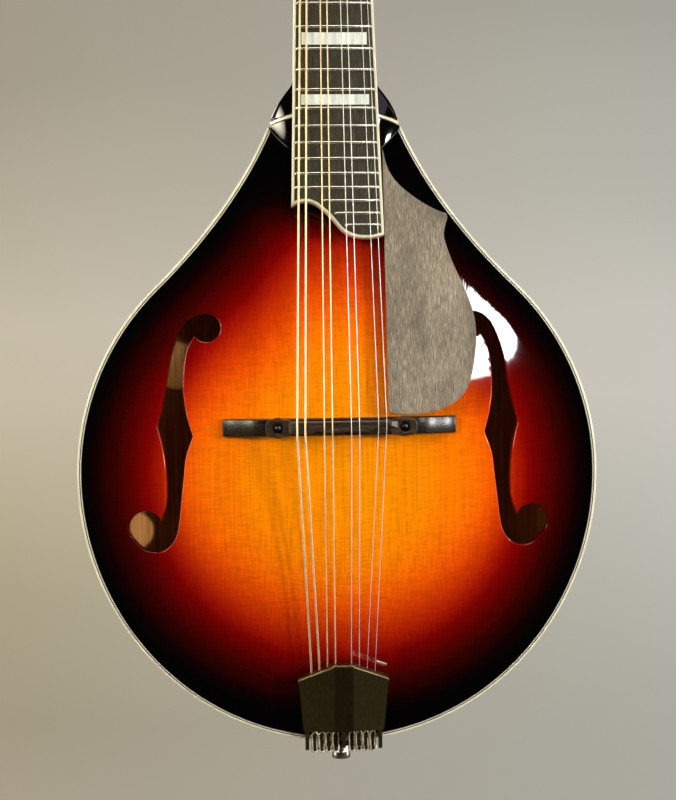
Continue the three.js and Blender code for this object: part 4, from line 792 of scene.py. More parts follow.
back_level = -rim_depth - seat_gap
back_burst = [
    (0.0, (150, 66, 22)), (0.35, (138, 54, 17)), (0.6, (104, 30, 10)), (0.8, (56, 11, 4)), (0.98, (12, 3, 2)),
]
carved_maple = grained_wood(
    "carved_maple", back_burst, along=2, spacing=1.3, contrast=0.1, roughness=0.42, coat=1.0,
    burst_and_shade=True, flame_and_sheen=0.3, ripple=0.04,
)
heel_back_half_width = 12.5
button_centre = -body_end_drop - 2
back = flat_plate("carved_back", back_level, -1)
dress(back, carved_maple, bare_maple)
for face in back.data.polygons:
    face.material_index = 1 if face.normal.y < -0.5 else 0
carve(back, back_arch, back_level, -1)
button = disc(
    "heel_button", 0, button_centre, heel_back_half_width, back_level - plate_edge, back_level, 48
)
cut(back, button, operation="UNION")
for vertex, entry in zip(back.data.vertices, back.data.attributes["burst_and_shade"].data):
    entry.value = max(entry.value, 0.95 if vertex.co.z / mm > button_centre - heel_back_half_width - 1 else 0)
smooth(back, 34)
seat(back, "root", "body_lacquer", "back_plate")

# The bindings: a cream plastic strip with a thin black and a thin white line inside it, set
# into the corner of each plate and scraped flush, with its outer corner eased by the scraper.
def plain_finish(name, light, dark, roughness, metallic=0.0, coat=0.0, scale=90, relief=0.0,
                 coat_roughness=0.05):
    """A finish that drifts slowly between two close colours, with a faint unevenness if wanted."""
    finish, tree, shader = new_finish(
        name, Roughness=roughness, Metallic=metallic, Coat_Weight=coat, Coat_Roughness=coat_roughness
    )
    cloud = noise(tree, add_node(tree, "TexCoord").outputs["Object"], scale, Detail=3.0, Roughness=0.55)
    feed(shader, Base_Color=coloured(tree, cloud, [(0.35, dark), (0.65, light)]))
    if relief:
        unevenness = add_node(tree, "Bump", Strength=1.0, Distance=relief * mm, Height=cloud)
        feed(shader, Normal=unevenness.outputs["Normal"])
    return finish


polished_strip = plain_finish(
    "cream_strip", (240, 236, 208), (228, 222, 190), 0.3, coat=0.6, scale=60, relief=0.01, coat_roughness=0.08
)
white_line = plain_finish("white_line", (214, 210, 198), (200, 195, 182), 0.4)
black_line = plain_finish("black_line", (12, 10, 9), (6, 5, 5), 0.3)

corner_ease = 0.5
line_start = 1.1
white_start = 1.52
white_end = 2.0
strip_depth = 2.2
for strip_name, low, high in (
    ("top_binding", seat_gap / 2, plate_edge),
    ("back_binding", back_level, back_level - plate_edge),
):
    lean = 1 if high > low else -1
    profile = [(0, low), (0, high - lean * corner_ease)]
    for turn in [math.radians(angle) for angle in (22.5, 45, 67.5, 90)]:
        drop = corner_ease * (1 - math.sin(turn))
        profile.append((corner_ease * (1 - math.cos(turn)), high - lean * drop))
    profile += [(depth, high) for depth in (line_start, white_start, white_end, strip_depth)]
    profile.append((strip_depth, low))
    rings = [
        [place(p.x, p.y, height) for p in inset(outline, distance)] for distance, height in profile
    ]
    strip = skin(strip_name + "_strip", rings, chain_closed=True, capped=False)
    dress(strip, polished_strip, white_line, black_line)
    for face in strip.data.polygons:
        centre = Vector((face.center.x / mm, face.center.z / mm))
        nearest = min(range(len(outline)), key=lambda i: (outline[i] - centre).length_squared)
        before, after = outline[nearest - 1], outline[(nearest + 1) % len(outline)]
        across = Vector(((after - before).y, -(after - before).x)).normalized()
        inside = abs((centre - outline[nearest]).dot(across))
        if line_start < inside < strip_depth + 0.05:
            face.material_index = 1 if white_start < inside < white_end else 2
    if lean > 0:
        notch = slab("tenon_notch", inset(tenon_plan, -seat_gap), low - overrun, high + overrun)
    else:
        notch_radius = heel_back_half_width + seat_gap
        notch = disc("button_notch", 0, button_centre, notch_radius, high - overrun, low + overrun, 48)
    cut(strip, notch)
    smooth(strip, 40)
    seat(strip, "root", "cream_binding", strip_name)

# The inside: spruce linings and tone bars, and maple blocks at neck and tail, all left bare.
# They keep their sawn and glued shapes from the frame.
for node_name in ("top_lining", "back_lining", "tone_bar_treble", "tone_bar_bass"):
    dress(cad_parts[node_name], bare_spruce)
for node_name in ("neck_block", "tail_block"):
    dress(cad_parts[node_name], bare_maple)

# The neck: one piece of maple under black lacquer, a D in section, whose heel flares out to
# the shoulders. It is dovetailed into the body, and its riser carries the board over the top.
scale_length = 352.4
neck_tilt = math.radians(4.56)
head_pitch = math.radians(14)
nut_width = 29.2
nut_length = 4.5
board_end_width = 43.2
board_length = 264.9
board_thickness = 5
neck_wood_top = board_thickness + seat_gap
neck_wood_at_nut = 14.5
neck_wood_at_heel = 17.5
heel_depth = 48.6
heel_half_width = 30
heel_shoulder_drop = 1.7
heel_top_along = 170
heel_end_along = 206
heel_shares = [
    (0, 0, 0, 1), (0.36, 0.2, 0, 0.9), (0.56, 0.48, 0.04, 0.84), (0.7, 0.74, 0.36, 0.88),
    (0.82, 0.9, 0.66, 0.94), (0.92, 0.97, 0.86, 1), (1, 1, 1, 1),
]
neck_round_shares = [(0.94, 0.4), (0.5, 0.78), (0, 0.93)]
riser_half_width = 17
riser_length = 43
platform_top = 9.2
platform_bottom = 5.3
platform_radius = 35.5
platform_centre_drop = 193.4
strip_width = 1.5
shoulder_drop = 3.6
shoulder_flat_half_width = 17
shoulder_reach = 13.5


def board_spot(x, z, height):
    """A place in the neck's own tilt: z up from the nut, height above the board's face."""
    return Matrix.Rotation(-neck_tilt, 3, "X") @ Vector((x, -height, z)) * mm


def head_spot(x, z, height):
    """A place in the headstock's own pitch."""
    return Matrix.Rotation(-neck_tilt - head_pitch, 3, "X") @ Vector((x, -height, z)) * mm


def board_height(along, below=0):
    return along * math.sin(neck_tilt) - below * math.cos(neck_tilt)


def board_half_width(along):
    return (nut_width + (board_end_width - nut_width) * along / board_length) / 2


def shoulder_fall(x):
    """How far the rounded shoulders of heel and cap have dropped at a distance from the middle."""
    return shoulder_drop * max(0, (abs(x) - shoulder_flat_half_width) / shoulder_reach) ** 1.7


def neck_ring(along, depth, flare, back):
    """The neck's section at one place, from its face down one side and up the other."""
    half = board_half_width(along) - seat_gap
    shoulder = neck_wood_top + heel_shoulder_drop
    edge = [Vector((half, neck_wood_top)), Vector((half, shoulder))]
    flared = (flare - half) / (heel_half_width - half)
    bend = []
    for share in (0.2, 0.4, 0.6, 0.8, 1):
        x = half + (flare - half) * share
        fall = shoulder_fall(x) * flared + heel_shoulder_drop / 2 * share * (1 - flared)
        bend.append(Vector((x, shoulder + fall)))
    bend += [
        Vector((back + (flare - back) * out, neck_wood_top + depth * down)) for out, down in neck_round_shares
    ]
    bend.append(Vector((back / 2, neck_wood_top + depth)))
    belly = flow_through([(-p.x, p.y) for p in bend] + [(p.x, p.y) for p in bend[::-1]], 4)
    points = [Vector((-p.x, p.y)) for p in edge] + belly + edge[::-1]
    return [board_spot(p.x, -along, -p.y) for p in points]


def end_arch(before, after, half_width, low, high):
    """A strip that follows the body's end, between two distances from it."""
    steps = 28
    row = [half_width * (2 * k / steps - 1) for k in range(steps + 1)]
    points = [(x, body_end_at(x) + before) for x in row]
    points += [(x, body_end_at(x) + after) for x in reversed(row)]
    return slab("end_arch", points, low, high)


def block(name, across, along, heights, spot=place):
    (x0, x1), (z0, z1), (low, high) = across, along, heights
    return slab(name, [(x0, z0), (x0, z1), (x1, z1), (x1, z0)], low, high, spot)


def joined(name, *parts):
    """Several shells kept as one object."""
    bpy.ops.object.select_all(action="DESELECT")
    for part in parts:
        part.select_set(True)
    bpy.context.view_layer.objects.active = parts[0]
    bpy.ops.object.join()
    parts[0].name = parts[0].data.name = name
    return parts[0]


rings = []
shaft_steps = 12
for step in range(shaft_steps):
    along = -nut_length + (heel_top_along + nut_length) * step / shaft_steps
    half = board_half_width(along) - seat_gap
    depth = neck_wood_at_nut + (neck_wood_at_heel - neck_wood_at_nut) * max(0, along / heel_top_along)
    rings.append(neck_ring(along, depth, half, half / 2))
for station in flow_through([Vector(row) for row in heel_shares], 4):
    along = heel_top_along + (heel_end_along - heel_top_along) * station[0]
    half = board_half_width(along) - seat_gap
    depth = neck_wood_at_heel + (heel_depth - neck_wood_at_heel) * station[1]
    flare = half + (heel_half_width - half) * max(0, station[2])
    back_half = half / 2 * (1 - station[1]) + heel_back_half_width * station[3] * station[1]
    rings.append(neck_ring(along, depth, flare, back_half))
neck = skin("carved_neck", rings)
below_heel = -2 * rim_depth
above_heel = 4 * overrun + board_height(heel_end_along)
cut(
    neck,
    end_arch(seat_gap, -body_end_radius, 2 * joint_half_width, below_heel, platform_bottom),
    end_arch(
        strip_width + seat_gap, -body_end_radius, 2 * joint_half_width, platform_bottom - seat_gap, above_heel
    ),
)
riser_start = -body_end_drop + overrun
riser_end = -body_end_drop - riser_length
platform_end = -platform_centre_drop - platform_radius
rings = []
for z, rests_on_platform in (
    (riser_start, True), (platform_end, True), (platform_end - seat_gap, False),
    (platform_end - riser_length / 5, False), (riser_end, False),
):
    roof = board_height(-z / math.cos(neck_tilt), neck_wood_top)
    floor = platform_top + seat_gap if rests_on_platform else top_height(0, z) + 3 * seat_gap
    half = riser_half_width
    rings.append([place(-half, z, roof), place(half, z, roof), place(half, z, floor), place(-half, z, floor)])
riser = skin("riser", rings)
tenon = slab("tenon", tenon_plan, -rim_depth + seat_gap, platform_top + 2 * seat_gap)

head_length = 158
head_half_width = 30
head_thickness = 13.5
head_face_drop = 5.3
head_start = 1.3
head_shares = [
    (0.5, 0.04), (0.62, 0.09), (0.9, 0.15), (0.98, 0.19), (0.96, 0.3), (0.9, 0.55), (0.88, 0.8),
    (0.93, 0.93), (0.9, 0.975), (0.62, 0.965), (0.32, 0.985), (0, 1),
]
head_corners = (8,)
post_from_axis = 18
first_post_rise = 40
post_spacing = 23
post_radius = 3
turning_gap = 0.35
rod_drop = 11.4
rod_radius = 2.4
rod_nut_start = 8.5
rod_pocket_half_width = 4.6
rod_pocket_end = 23
post_rises = [first_post_rise + post_spacing * k for k in range(4)]


def head_plan(start, shrink):
    """The headstock's outline from one place up, drawn in by a little."""
    half = flow_through(
        [(u * head_half_width - (shrink if u else 0), v * head_length - shrink) for u, v in head_shares],
        5, head_corners,
    )
    right = [Vector((nut_width / 2 - shrink, start))] + [point for point in half if point.y > start + 1]
    left = [Vector((-point.x, point.y)) for point in right[:-1]]
    return right + left[::-1]


def post_bores(radius, low, high):
    return joined("post_bores", *[
        disc("bore", side * post_from_axis, rise, radius, low, high, 28, head_spot)
        for side in (-1, 1) for rise in post_rises
    ])


head_back = -head_face_drop - head_thickness
head = slab("head_wood", head_plan(head_start, 0), head_back, -head_face_drop, head_spot)
cut(neck, riser, tenon, head, operation="UNION")
channel = block(
    "rod_channel", (-rod_radius - seat_gap, rod_radius + seat_gap),
    (-heel_end_along + rod_nut_start + seat_gap, rod_nut_start),
    (-rod_drop - rod_radius - seat_gap, 0), board_spot,
)
pocket = block(
    "rod_pocket", (-rod_pocket_half_width, rod_pocket_half_width), (rod_nut_start - seat_gap, rod_pocket_end),
    (-rod_drop - rod_pocket_half_width, 0), board_spot,
)
cut(neck, post_bores(post_radius + turning_gap, -2 * head_thickness, overrun), channel, pocket)
black_lacquer = plain_finish("black_lacquer", (7, 5, 5), (4, 3, 3), 0.4, coat=1.0, scale=40)
feed(black_lacquer.node_tree.nodes["Principled BSDF"], Specular_IOR_Level=0.0)
complete(neck, black_lacquer, 30, "root", "black_lacquer", "neck")
dress(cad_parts["truss_rod"], plain_finish("rod_steel", (150, 150, 150), (120, 120, 118), 0.4, 1.0))

# The neck joint: a cream strip runs through the heel where the neck meets the body, and a
# rounded black cap lies on the body below it, glued on and lacquered with the neck.
strip_half_width = 30.4
platform_half_width = 31
edge_ease = 0.2
cap_ease = 1.6


def row_across(half_width, steps=48):
    return [half_width * (2 * k / steps - 1) for k in range(steps + 1)]


rings = []
for x in row_across(strip_half_width):
    front, rear = body_end_at(x) + strip_width, body_end_at(x)
    crown = platform_top - shoulder_fall(x)
    rings.append([
        place(x, front, platform_bottom), place(x, front, crown - edge_ease),
        place(x, front - edge_ease, crown), place(x, rear + edge_ease, crown),
        place(x, rear, crown - edge_ease), place(x, rear, platform_bottom),
    ])
joint_strip = skin("joint_strip", rings)
complete(joint_strip, polished_strip, 40, "root", "cream_binding", "joint_binding")

rings = []
for x in row_across(platform_half_width):
    front = body_end_at(x) - seat_gap
    rear = -platform_centre_drop - math.sqrt(platform_radius**2 - x**2)
    crown = platform_top - shoulder_fall(x)
    ease = min(cap_ease, (front - rear) / 3, (crown - platform_bottom) * 0.8)
    ring = [
        place(x, front, platform_bottom), place(x, front, crown - edge_ease),
        place(x, front - edge_ease, crown),
    ]
    for step in range(5):
        turn = math.radians(90) * step / 4
        ring.append(place(x, rear + ease * (1 - math.sin(turn)), crown - ease * (1 - math.cos(turn))))
    rings.append([*ring, place(x, rear, platform_bottom)])
cap = skin("joint_cap", rings)
cut(cap, slab("tenon_gap", inset(tenon_plan, -seat_gap), 0, 2 * platform_top))
complete(cap, black_lacquer, 40, "root", "black_lacquer", "joint_platform")

# The fingerboard: ebony with a cream-bound edge, nickel-silver frets pressed in and pearl
# blocks let in flush. Its far end is sawn to an S, long under the thin strings.
board_binding_width = 1.25
board_binding_drop = 0.3
end_curve_depth = 17.2
fret_count = 23
fret_width = 1.5
fret_height = 0.95
fret_foot = 0.4
strip_lip = 0.3
board_end_shares = [
    (-1, 0.88), (-0.88, 0.96), (-0.73, 1), (-0.602, 0.988), (-0.449, 0.907), (-0.292, 0.75),
    (-0.157, 0.587), (-0.028, 0.39), (0.102, 0.209), (0.259, 0.087), (0.435, 0.017),
    (0.616, 0), (0.792, 0.017), (1, 0.076),
]
end_curve = flow_through(
    [
        (u * board_half_width(board_length - v * end_curve_depth), -board_length + v * end_curve_depth)
        for u, v in board_end_shares
    ],
    4,
)
board_edge = [Vector((-board_half_width(0), -seat_gap)), *end_curve, Vector((board_half_width(0), -seat_gap))]
board_core = inset(board_edge, -board_binding_width, closed=False)
grey_ebony = grained_wood(
    "grey_ebony", [(0.28, (26, 24, 14)), (0.45, (46, 43, 28)), (0.6, (60, 56, 38)), (0.75, (88, 82, 62))],
    along=2, spacing=0.55, contrast=0.16, roughness=0.42, run=30,
)
board = slab("ebony_board", board_core, -board_thickness, 0, board_spot)
complete(board, grey_ebony, 30, "root", "ebony", "fretboard")

rings = []
for outer, core in zip(board_edge, board_core):
    eased = outer.lerp(core, strip_lip / board_binding_width)
    corners = [
        (outer, -board_thickness), (outer, -board_binding_drop - strip_lip), (eased, -board_binding_drop),
        (core, -board_binding_drop), (core, -board_thickness),
    ]
    rings.append([board_spot(p.x, p.y, height) for p, height in corners])
board_strip = skin("board_strip", rings)
complete(board_strip, polished_strip, 40, "root", "cream_binding", "fretboard_binding")


def fret_along(number):
    return scale_length * (1 - 2 ** (-number / 12))


def core_end_at(x):
    """Where the board's wood ends at a distance across it."""
    line = board_core[1:-1]
    for left, right in zip(line, line[1:]):
        if x <= right.x:
            share = max(0, (x - left.x) / (right.x - left.x))
            return left.y + (right.y - left.y) * share
    return line[-1].y


nickel_silver = plain_finish("nickel_silver", (228, 222, 204), (206, 199, 180), 0.26, 1.0)
frets = []
for number in range(1, fret_count + 1):
    along = fret_along(number)
    right = board_half_width(along) - board_binding_width - seat_gap / 4
    left = -right
    while core_end_at(left) > -along - fret_width and left < right:
        left += fret_width / 8
    rings = []
    for x, bulge in (
        (left, 0.3), (left + 0.25, 0.75), (left + 0.7, 1),
        (right - 0.7, 1), (right - 0.25, 0.75), (right, 0.3),
    ):
        crown = [
            (fret_width / 2 * math.cos(turn), fret_height * bulge * math.sin(turn))
            for turn in [math.pi * k / 8 for k in range(9)]
        ]
        foot = [(-fret_width / 2, -fret_foot), (fret_width / 2, -fret_foot)]
        rings.append([board_spot(x, -along + z, height) for z, height in [*crown, *foot]])
    frets.append(skin("fret", rings))
frets = joined("fret_wire", *frets)
complete(frets, nickel_silver, 40, "root", "ebony")

pearl = grained_wood(
    "pearl",
    [(0.3, (196, 205, 205)), (0.48, (220, 227, 222)), (0.62, (236, 240, 233)), (0.75, (248, 249, 242))],
    along=2, spacing=1.6, contrast=0.03, roughness=0.2, coat=0.6,
)
inlaid_spaces = (3, 5, 7, 10, 12, 15)
pearl_start_share = 0.25
pearl_end_share = 0.8
pearl_width_share = 0.8
pearl_depth = 0.8
pearl_rise = 0.03
blocks = []
for number in inlaid_spaces:
    near, far = fret_along(number - 1), fret_along(number)
    start = near + (far - near) * pearl_start_share
    end = near + (far - near) * pearl_end_share
    half = board_half_width(start) * pearl_width_share
    blocks.append(block("pearl_block", (-half, half), (-end, -start), (-pearl_depth, pearl_rise), board_spot))
blocks = joined("pearl_blocks", *blocks)
complete(blocks, pearl, 30, "root", "ebony")

# The nut: a strip of bone across the board's end, with a rounded back and eight slots.
nut_rise = 1.4
nut_slot_width = 1.8
nut_slot_depth = 0.9
nut_spread = 24
nut_pair_gap = 2.6


def paired_places(spread, pair_gap):
    """Four close pairs spread evenly across a width."""
    step = (spread - pair_gap) / 3
    return [-spread / 2 + step * course + pair_gap * second for course in range(4) for second in (0, 1)]


nut_places = paired_places(nut_spread, nut_pair_gap)
nut_heights = (-board_thickness, nut_rise)
nut = block("bone_nut", (-nut_width / 2, nut_width / 2), (0, nut_length), nut_heights, board_spot)
slots = joined("slots", *[
    block(
        "slot", (x - nut_slot_width / 2, x + nut_slot_width / 2), (-overrun, nut_length + overrun),
        (nut_rise - nut_slot_depth, nut_rise + overrun), board_spot,
    )
    for x in nut_places
])
cut(nut, slots)
dress(nut, plain_finish("bone", (238, 230, 208), (222, 211, 184), 0.35, coat=0.3, scale=140))
round_edges(nut, 0.25)
seat(nut, "root", "bone", "nut")

# The headstock's face: an ebony veneer with a window over the truss rod's nut, and a small
# shield-shaped cover screwed over the window.
overlay_thickness = 2
overlay_start = 6.2
overlay_face = -head_face_drop + seat_gap + overlay_thickness
overlay_plan = head_plan(overlay_start, seat_gap)
overlay = slab("head_veneer", overlay_plan, -head_face_drop + seat_gap, overlay_face, head_spot)
window = block(
    "window", (-rod_pocket_half_width, rod_pocket_half_width), (overlay_start + overrun, rod_pocket_end),
    (-head_thickness, overrun), head_spot,
)
cut(overlay, post_bores(post_radius + turning_gap, -head_thickness, overrun), window)
dark_ebony = grained_wood(
    "dark_ebony", [(0.3, (20, 17, 14)), (0.5, (32, 28, 24)), (0.7, (46, 41, 36))],
    along=2, spacing=0.5, contrast=0.12, roughness=0.42,
)
dress(overlay, dark_ebony)
round_edges(overlay, 0.35)
seat(overlay, "root", "ebony", "headstock_overlay")

cover_length = 36
cover_half_width = 9.5
cover_thickness = 2
cover_start = 6.5
cover_shares = [(0.8, 0), (1, 0.12), (0.95, 0.4), (0.6, 0.72), (0.35, 0.94), (0, 1)]
half_cover = flow_through(
    [(u * cover_half_width, cover_start + v * cover_length) for u, v in cover_shares], 5, (1,)
)
cover_plan = half_cover + [Vector((-p.x, p.y)) for p in half_cover[:-1]][::-1]
cover_foot = overlay_face + seat_gap
cover = slab("rod_cover", cover_plan, cover_foot, cover_foot + cover_thickness, head_spot)
dress(cover, dark_ebony)
round_edges(cover, 0.4)
seat(cover, "root", "ebony", "truss_rod_cover")

# The truss rod's nut: a hexagon of brass bar with chamfered ends, turned with a box spanner.
rod_nut_radius = 3.5
rod_nut_length = 9
rings = []
for z, reach in (
    (rod_nut_start + seat_gap, 0.88), (rod_nut_start + seat_gap + 0.6, 1),
    (rod_nut_start + rod_nut_length - 0.6, 1), (rod_nut_start + rod_nut_length, 0.88),
):
    rings.append(ring_of(lambda u, v: board_spot(u, z, -rod_drop + v), rod_nut_radius * reach, 6))
rod_nut = skin("hex_nut", rings)
dull_brass = plain_finish("dull_brass", (196, 158, 88), (160, 124, 62), 0.36, 1.0, scale=120)
complete(rod_nut, dull_brass, 20, "rod_nut", "brass", "truss_rod_nut")

# The tuning machines: a nickel plate on each side of the headstock carries four posts whose
# wheels are driven by worms, sixteen turns of the pearly button to one of the post.
worm_pitch = 2.2
worm_radius = 2
worm_throw = 0.6
worm_turns = 3
worm_shaft_radius = 1.3
gear_teeth = 16
gear_thickness = 2.4
gear_radius = gear_teeth * worm_pitch / math.tau
worm_offset = gear_radius + worm_radius + turning_gap
head_back_drop = head_face_drop + head_thickness + seat_gap
tuner_plate_thickness = 1.2
worm_height = -head_back_drop - tuner_plate_thickness - 3.2
post_rise = 10.5
post_waist_radius = 2.4
post_hole_rise = 4.2
post_hole_radius = 0.8
button_start = 32
button_length = 14
button_half_width = 7.2
button_half_depth = 3.8

polished_nickel = plain_finish("polished_nickel", (224, 219, 206), (204, 198, 184), 0.24, 1.0, scale=50)
pearl_plastic = grained_wood(
    "pearl_plastic", [(0.3, (206, 200, 186)), (0.5, (228, 223, 210)), (0.7, (244, 241, 232))],
    along=0, spacing=2.5, contrast=0.04, roughness=0.22, coat=0.5,
)
post_profile = [
    (0, worm_height - gear_thickness), (post_waist_radius, worm_height - gear_thickness),
    (post_radius, worm_height), (post_radius, overlay_face + post_hole_rise - 2 * post_hole_radius),
    (post_waist_radius, overlay_face + post_hole_rise),
    (post_waist_radius, overlay_face + post_hole_rise + 2 * post_hole_radius),
    (post_radius, overlay_face + post_rise - post_hole_radius),
    (post_radius - 0.2, overlay_face + post_rise - 0.3), (post_waist_radius, overlay_face + post_rise),
    (0, overlay_face + post_rise),
]
sides = (("bass", -1), ("treble", 1))
for side_name, side in sides:
    for index, rise in enumerate(post_rises):
        label = f"{side_name}_{index + 1}"
        x = side * post_from_axis
        rings = [
            [head_spot(p.x, p.y, height) for p in circle_points(x, rise, radius, 36)]
            for radius, height in post_profile
        ]
        post = skin("post", rings, capped=False)
        teeth = []
        for k in range(gear_teeth * 8):
            angle = math.tau * k / (gear_teeth * 8)
            radius = gear_radius + worm_throw * math.cos(math.tau * k / 8)
            teeth.append((x - radius * math.sin(angle), rise - radius * math.cos(angle)))
        gear_low, gear_high = worm_height - gear_thickness / 2, worm_height + gear_thickness / 2
        wheel = slab("gear", teeth, gear_low, gear_high, head_spot)
        hole_height = overlay_face + post_hole_rise
        hole = skin("hole", [
            ring_of(lambda u, v: head_spot(x + out, rise + u, hole_height + v), post_hole_radius, 16)
            for out in (-2 * post_radius, 2 * post_radius)
        ])
        cut(post, hole)
        post = joined("peg_" + label, post, wheel)
        complete(post, polished_nickel, 30, f"post_{label}", "nickel", f"string_post_{label}")

        axis_z = rise - worm_offset
        length = worm_turns * worm_pitch
        start = post_from_axis - length / 2

        def round_bar(out, radius, up=0.0, across=0.0, sides=16, tall=None):
            return ring_of(
                lambda u, v: head_spot(side * out, axis_z + across + u, worm_height + up + v),
                radius, sides, tall,
            )

        lug_reach = 1.8 + 2 * turning_gap
        rings = [round_bar(start - lug_reach - seat_gap, worm_shaft_radius)]
        rings.append(round_bar(start - seat_gap, worm_shaft_radius))
        steps = worm_turns * 12
        for step in range(steps + 1):
            turned = math.tau * (step / 12 + worm_turns / 2) + math.pi
            rings.append(round_bar(
                start + length * step / steps, worm_radius,
                worm_throw * math.sin(turned) * side, worm_throw * math.cos(turned),
            ))
        rings.append(round_bar(start + length + seat_gap, worm_shaft_radius))
        rings.append(round_bar(button_start + overrun, worm_shaft_radius))
        worm = skin("worm", rings)
        dress(worm, polished_nickel, pearl_plastic)
        rings = []
        for step in range(21):
            share = -math.cos(math.pi * step / 20)
            fullness = max(0, 1 - abs(share) ** 2.5) ** 0.5
            middle = button_start + button_length / 2
            rings.append(round_bar(
                middle + share * button_length / 2, button_half_width * fullness, sides=28,
                tall=button_half_depth * fullness,
            ))
        knob = skin("knob", rings, capped=False)
        dress(knob, polished_nickel, pearl_plastic)
        for face in knob.data.polygons:
            face.material_index = 1
        button_piece = joined("button_and_worm_" + label, worm, knob)
        smooth(button_piece, 40)
        seat(button_piece, f"button_{label}", "pearl_button", f"tuner_button_{label}")


def refined_copy(name, node_name, width, segments=2, flat=1.0, broad_edges=()):
    """A cleaned copy of a frame piece whose sharp edges are broken, some more broadly."""
    bpy.ops.object.select_all(action="DESELECT")
    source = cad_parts[node_name]
    copy = source.copy()
    copy.data = source.data.copy()
    copy.data.transform(source.matrix_world)
    bpy.context.scene.collection.objects.link(copy)
    copy.parent = None
    copy.matrix_world = Matrix.Identity(4)
    copy.name = copy.data.name = name
    edit(copy)
    bpy.ops.mesh.remove_doubles(threshold=0.005 * mm)
    bpy.ops.mesh.dissolve_limited(angle_limit=math.radians(flat))
    bpy.ops.mesh.normals_make_consistent(inside=False)
    for is_broad, broad_width, steps in broad_edges:
        bpy.ops.mesh.select_mode(type="EDGE")
        bpy.ops.mesh.select_all(action="DESELECT")
        close_edit()
        for line in copy.data.edges:
            line.select = all(is_broad(copy.data.vertices[corner].co / mm) for corner in line.vertices)
        bpy.ops.object.mode_set(mode="EDIT")
        bpy.ops.mesh.bevel(offset=broad_width * mm, segments=steps, affect="EDGES")
    close_edit()
    round_edges(copy, width, segments)
    return copy


screw_rise = 7
first_screw_drop = 17
screw_from_posts = 5.6
for side_name, side in sides:
    plate = refined_copy(f"machine_plate_{side_name}", f"tuner_plate_{side_name}", 0.2)
    dress(plate, polished_nickel)
    seat(plate, "root", "nickel", f"tuner_plate_{side_name}")
    screws = []
    back_face = -head_back_drop - tuner_plate_thickness
    dome = [(1.7, 0), (1.6, 0.35), (1.2, 0.65), (0.6, 0.8), (0, 0.84)]
    between_posts = [(a + b) / 2 - worm_offset + screw_rise for a, b in zip(post_rises, post_rises[1:])]
    for rise in [post_rises[0] - first_screw_drop, *between_posts]:
        for x_out in (-screw_from_posts, screw_from_posts) if rise > post_rises[0] else (0,):
            x = side * (post_from_axis + x_out)
            screws.append(skin("screw", [
                [head_spot(p.x, p.y, back_face - bulge) for p in circle_points(x, rise, radius, 20)]
                for radius, bulge in dome
            ]))
    screws = joined(f"plate_screws_{side_name}", *screws)
    complete(screws, polished_nickel, 40, "root", "nickel")

# The bridge: an ebony foot fitted to the arch and held only by the strings, two threaded
# brass posts with knurled wheels, and a saddle that rides on the wheels.
bridge_drop = 351.6
base_half_length = 55
base_width = 8.2
base_top = 21.4
base_tip_height = 3.4
base_level_share = 0.64
base_arch_share = 0.32
base_arch_end_share = 0.42
bridge_post_from_axis = 29.2
bridge_post_radius = 1.6
bridge_post_top = 29.2
thread_pitch = 0.7
thread_depth = 0.28
saddle_half_length = 34.9
saddle_pad_length = 12.4
saddle_pad_width = 8
saddle_pad_top = 30.4
saddle_bottom = 25.8
saddle_top = 31.8
saddle_crest_width = 3.4
compensations = {"g": 2.2, "d": 0.4, "a": 1.6, "e": -1.6}
bridge_spread = 41
bridge_pair_gap = 3.7
course_names = ("g", "d", "a", "e")


base_rows = []
steps = 88
for step in range(steps + 1):
    share = 2 * step / steps - 1
    x = share * base_half_length
    floors = [top_height(x, -bridge_drop + out * base_width / 2) + seat_gap for out in (-1, 1)]
    arch = min(1, max(0, (base_arch_end_share - abs(share)) / (base_arch_end_share - base_arch_share)))
    lift = overrun * (3 * arch**2 - 2 * arch**3)
    tip = max(floors) + base_tip_height
    sinking = max(0, (abs(share) - base_level_share) / (1 - base_level_share))
    level = (1 + math.cos(math.pi * sinking)) / 2
    roof = tip + (base_top - tip) * level
    back_z, front_z = -bridge_drop - base_width / 2, -bridge_drop + base_width / 2
    base_rows.append([
        place(x, back_z, floors[0] + lift), place(x, back_z, roof),
        place(x, front_z, roof), place(x, front_z, floors[1] + lift),
    ])
foot = skin("bridge_foot", base_rows)
apply_modifier(foot, "BEVEL", width=0.7 * mm, segments=3, limit_method="ANGLE", angle_limit=math.radians(50))
smooth(foot, 34)
bridge_ebony = grained_wood(
    "bridge_ebony", [(0.3, (22, 18, 11)), (0.48, (36, 30, 20)), (0.62, (48, 41, 29)), (0.75, (84, 75, 58))],
    along=0, spacing=0.45, contrast=0.16, roughness=0.24, run=24,
)
dress(foot, bridge_ebony)
seat(foot, "root", "ebony", "bridge_base")

posts = []
for side in (-1, 1):
    x = side * bridge_post_from_axis
    rings = []
    per_turn = 10
    count = int((bridge_post_top - base_top + overrun) / thread_pitch * per_turn)
    for step in range(count + 1):
        height = base_top - overrun + (bridge_post_top - base_top + overrun) * step / count
        ring = []
        for k in range(20):
            angle = math.tau * k / 20
            wave = abs(((step / per_turn - k / 20) % 1) * 2 - 1)
            radius = bridge_post_radius - thread_depth * wave
            if count - step < 3:
                radius = min(radius, bridge_post_radius - 0.1 * (4 - count + step))
            z = -bridge_drop + radius * math.sin(angle)
            ring.append(place(x + radius * math.cos(angle), z, height))
        rings.append(ring)
    posts.append(skin("threaded_post", rings))
posts = joined("threaded_posts", *posts)
dress(posts, plain_finish("blued_steel", (84, 84, 84), (56, 56, 58), 0.3, 1.0))
smooth(posts, 50)
seat(posts, "root", "steel")

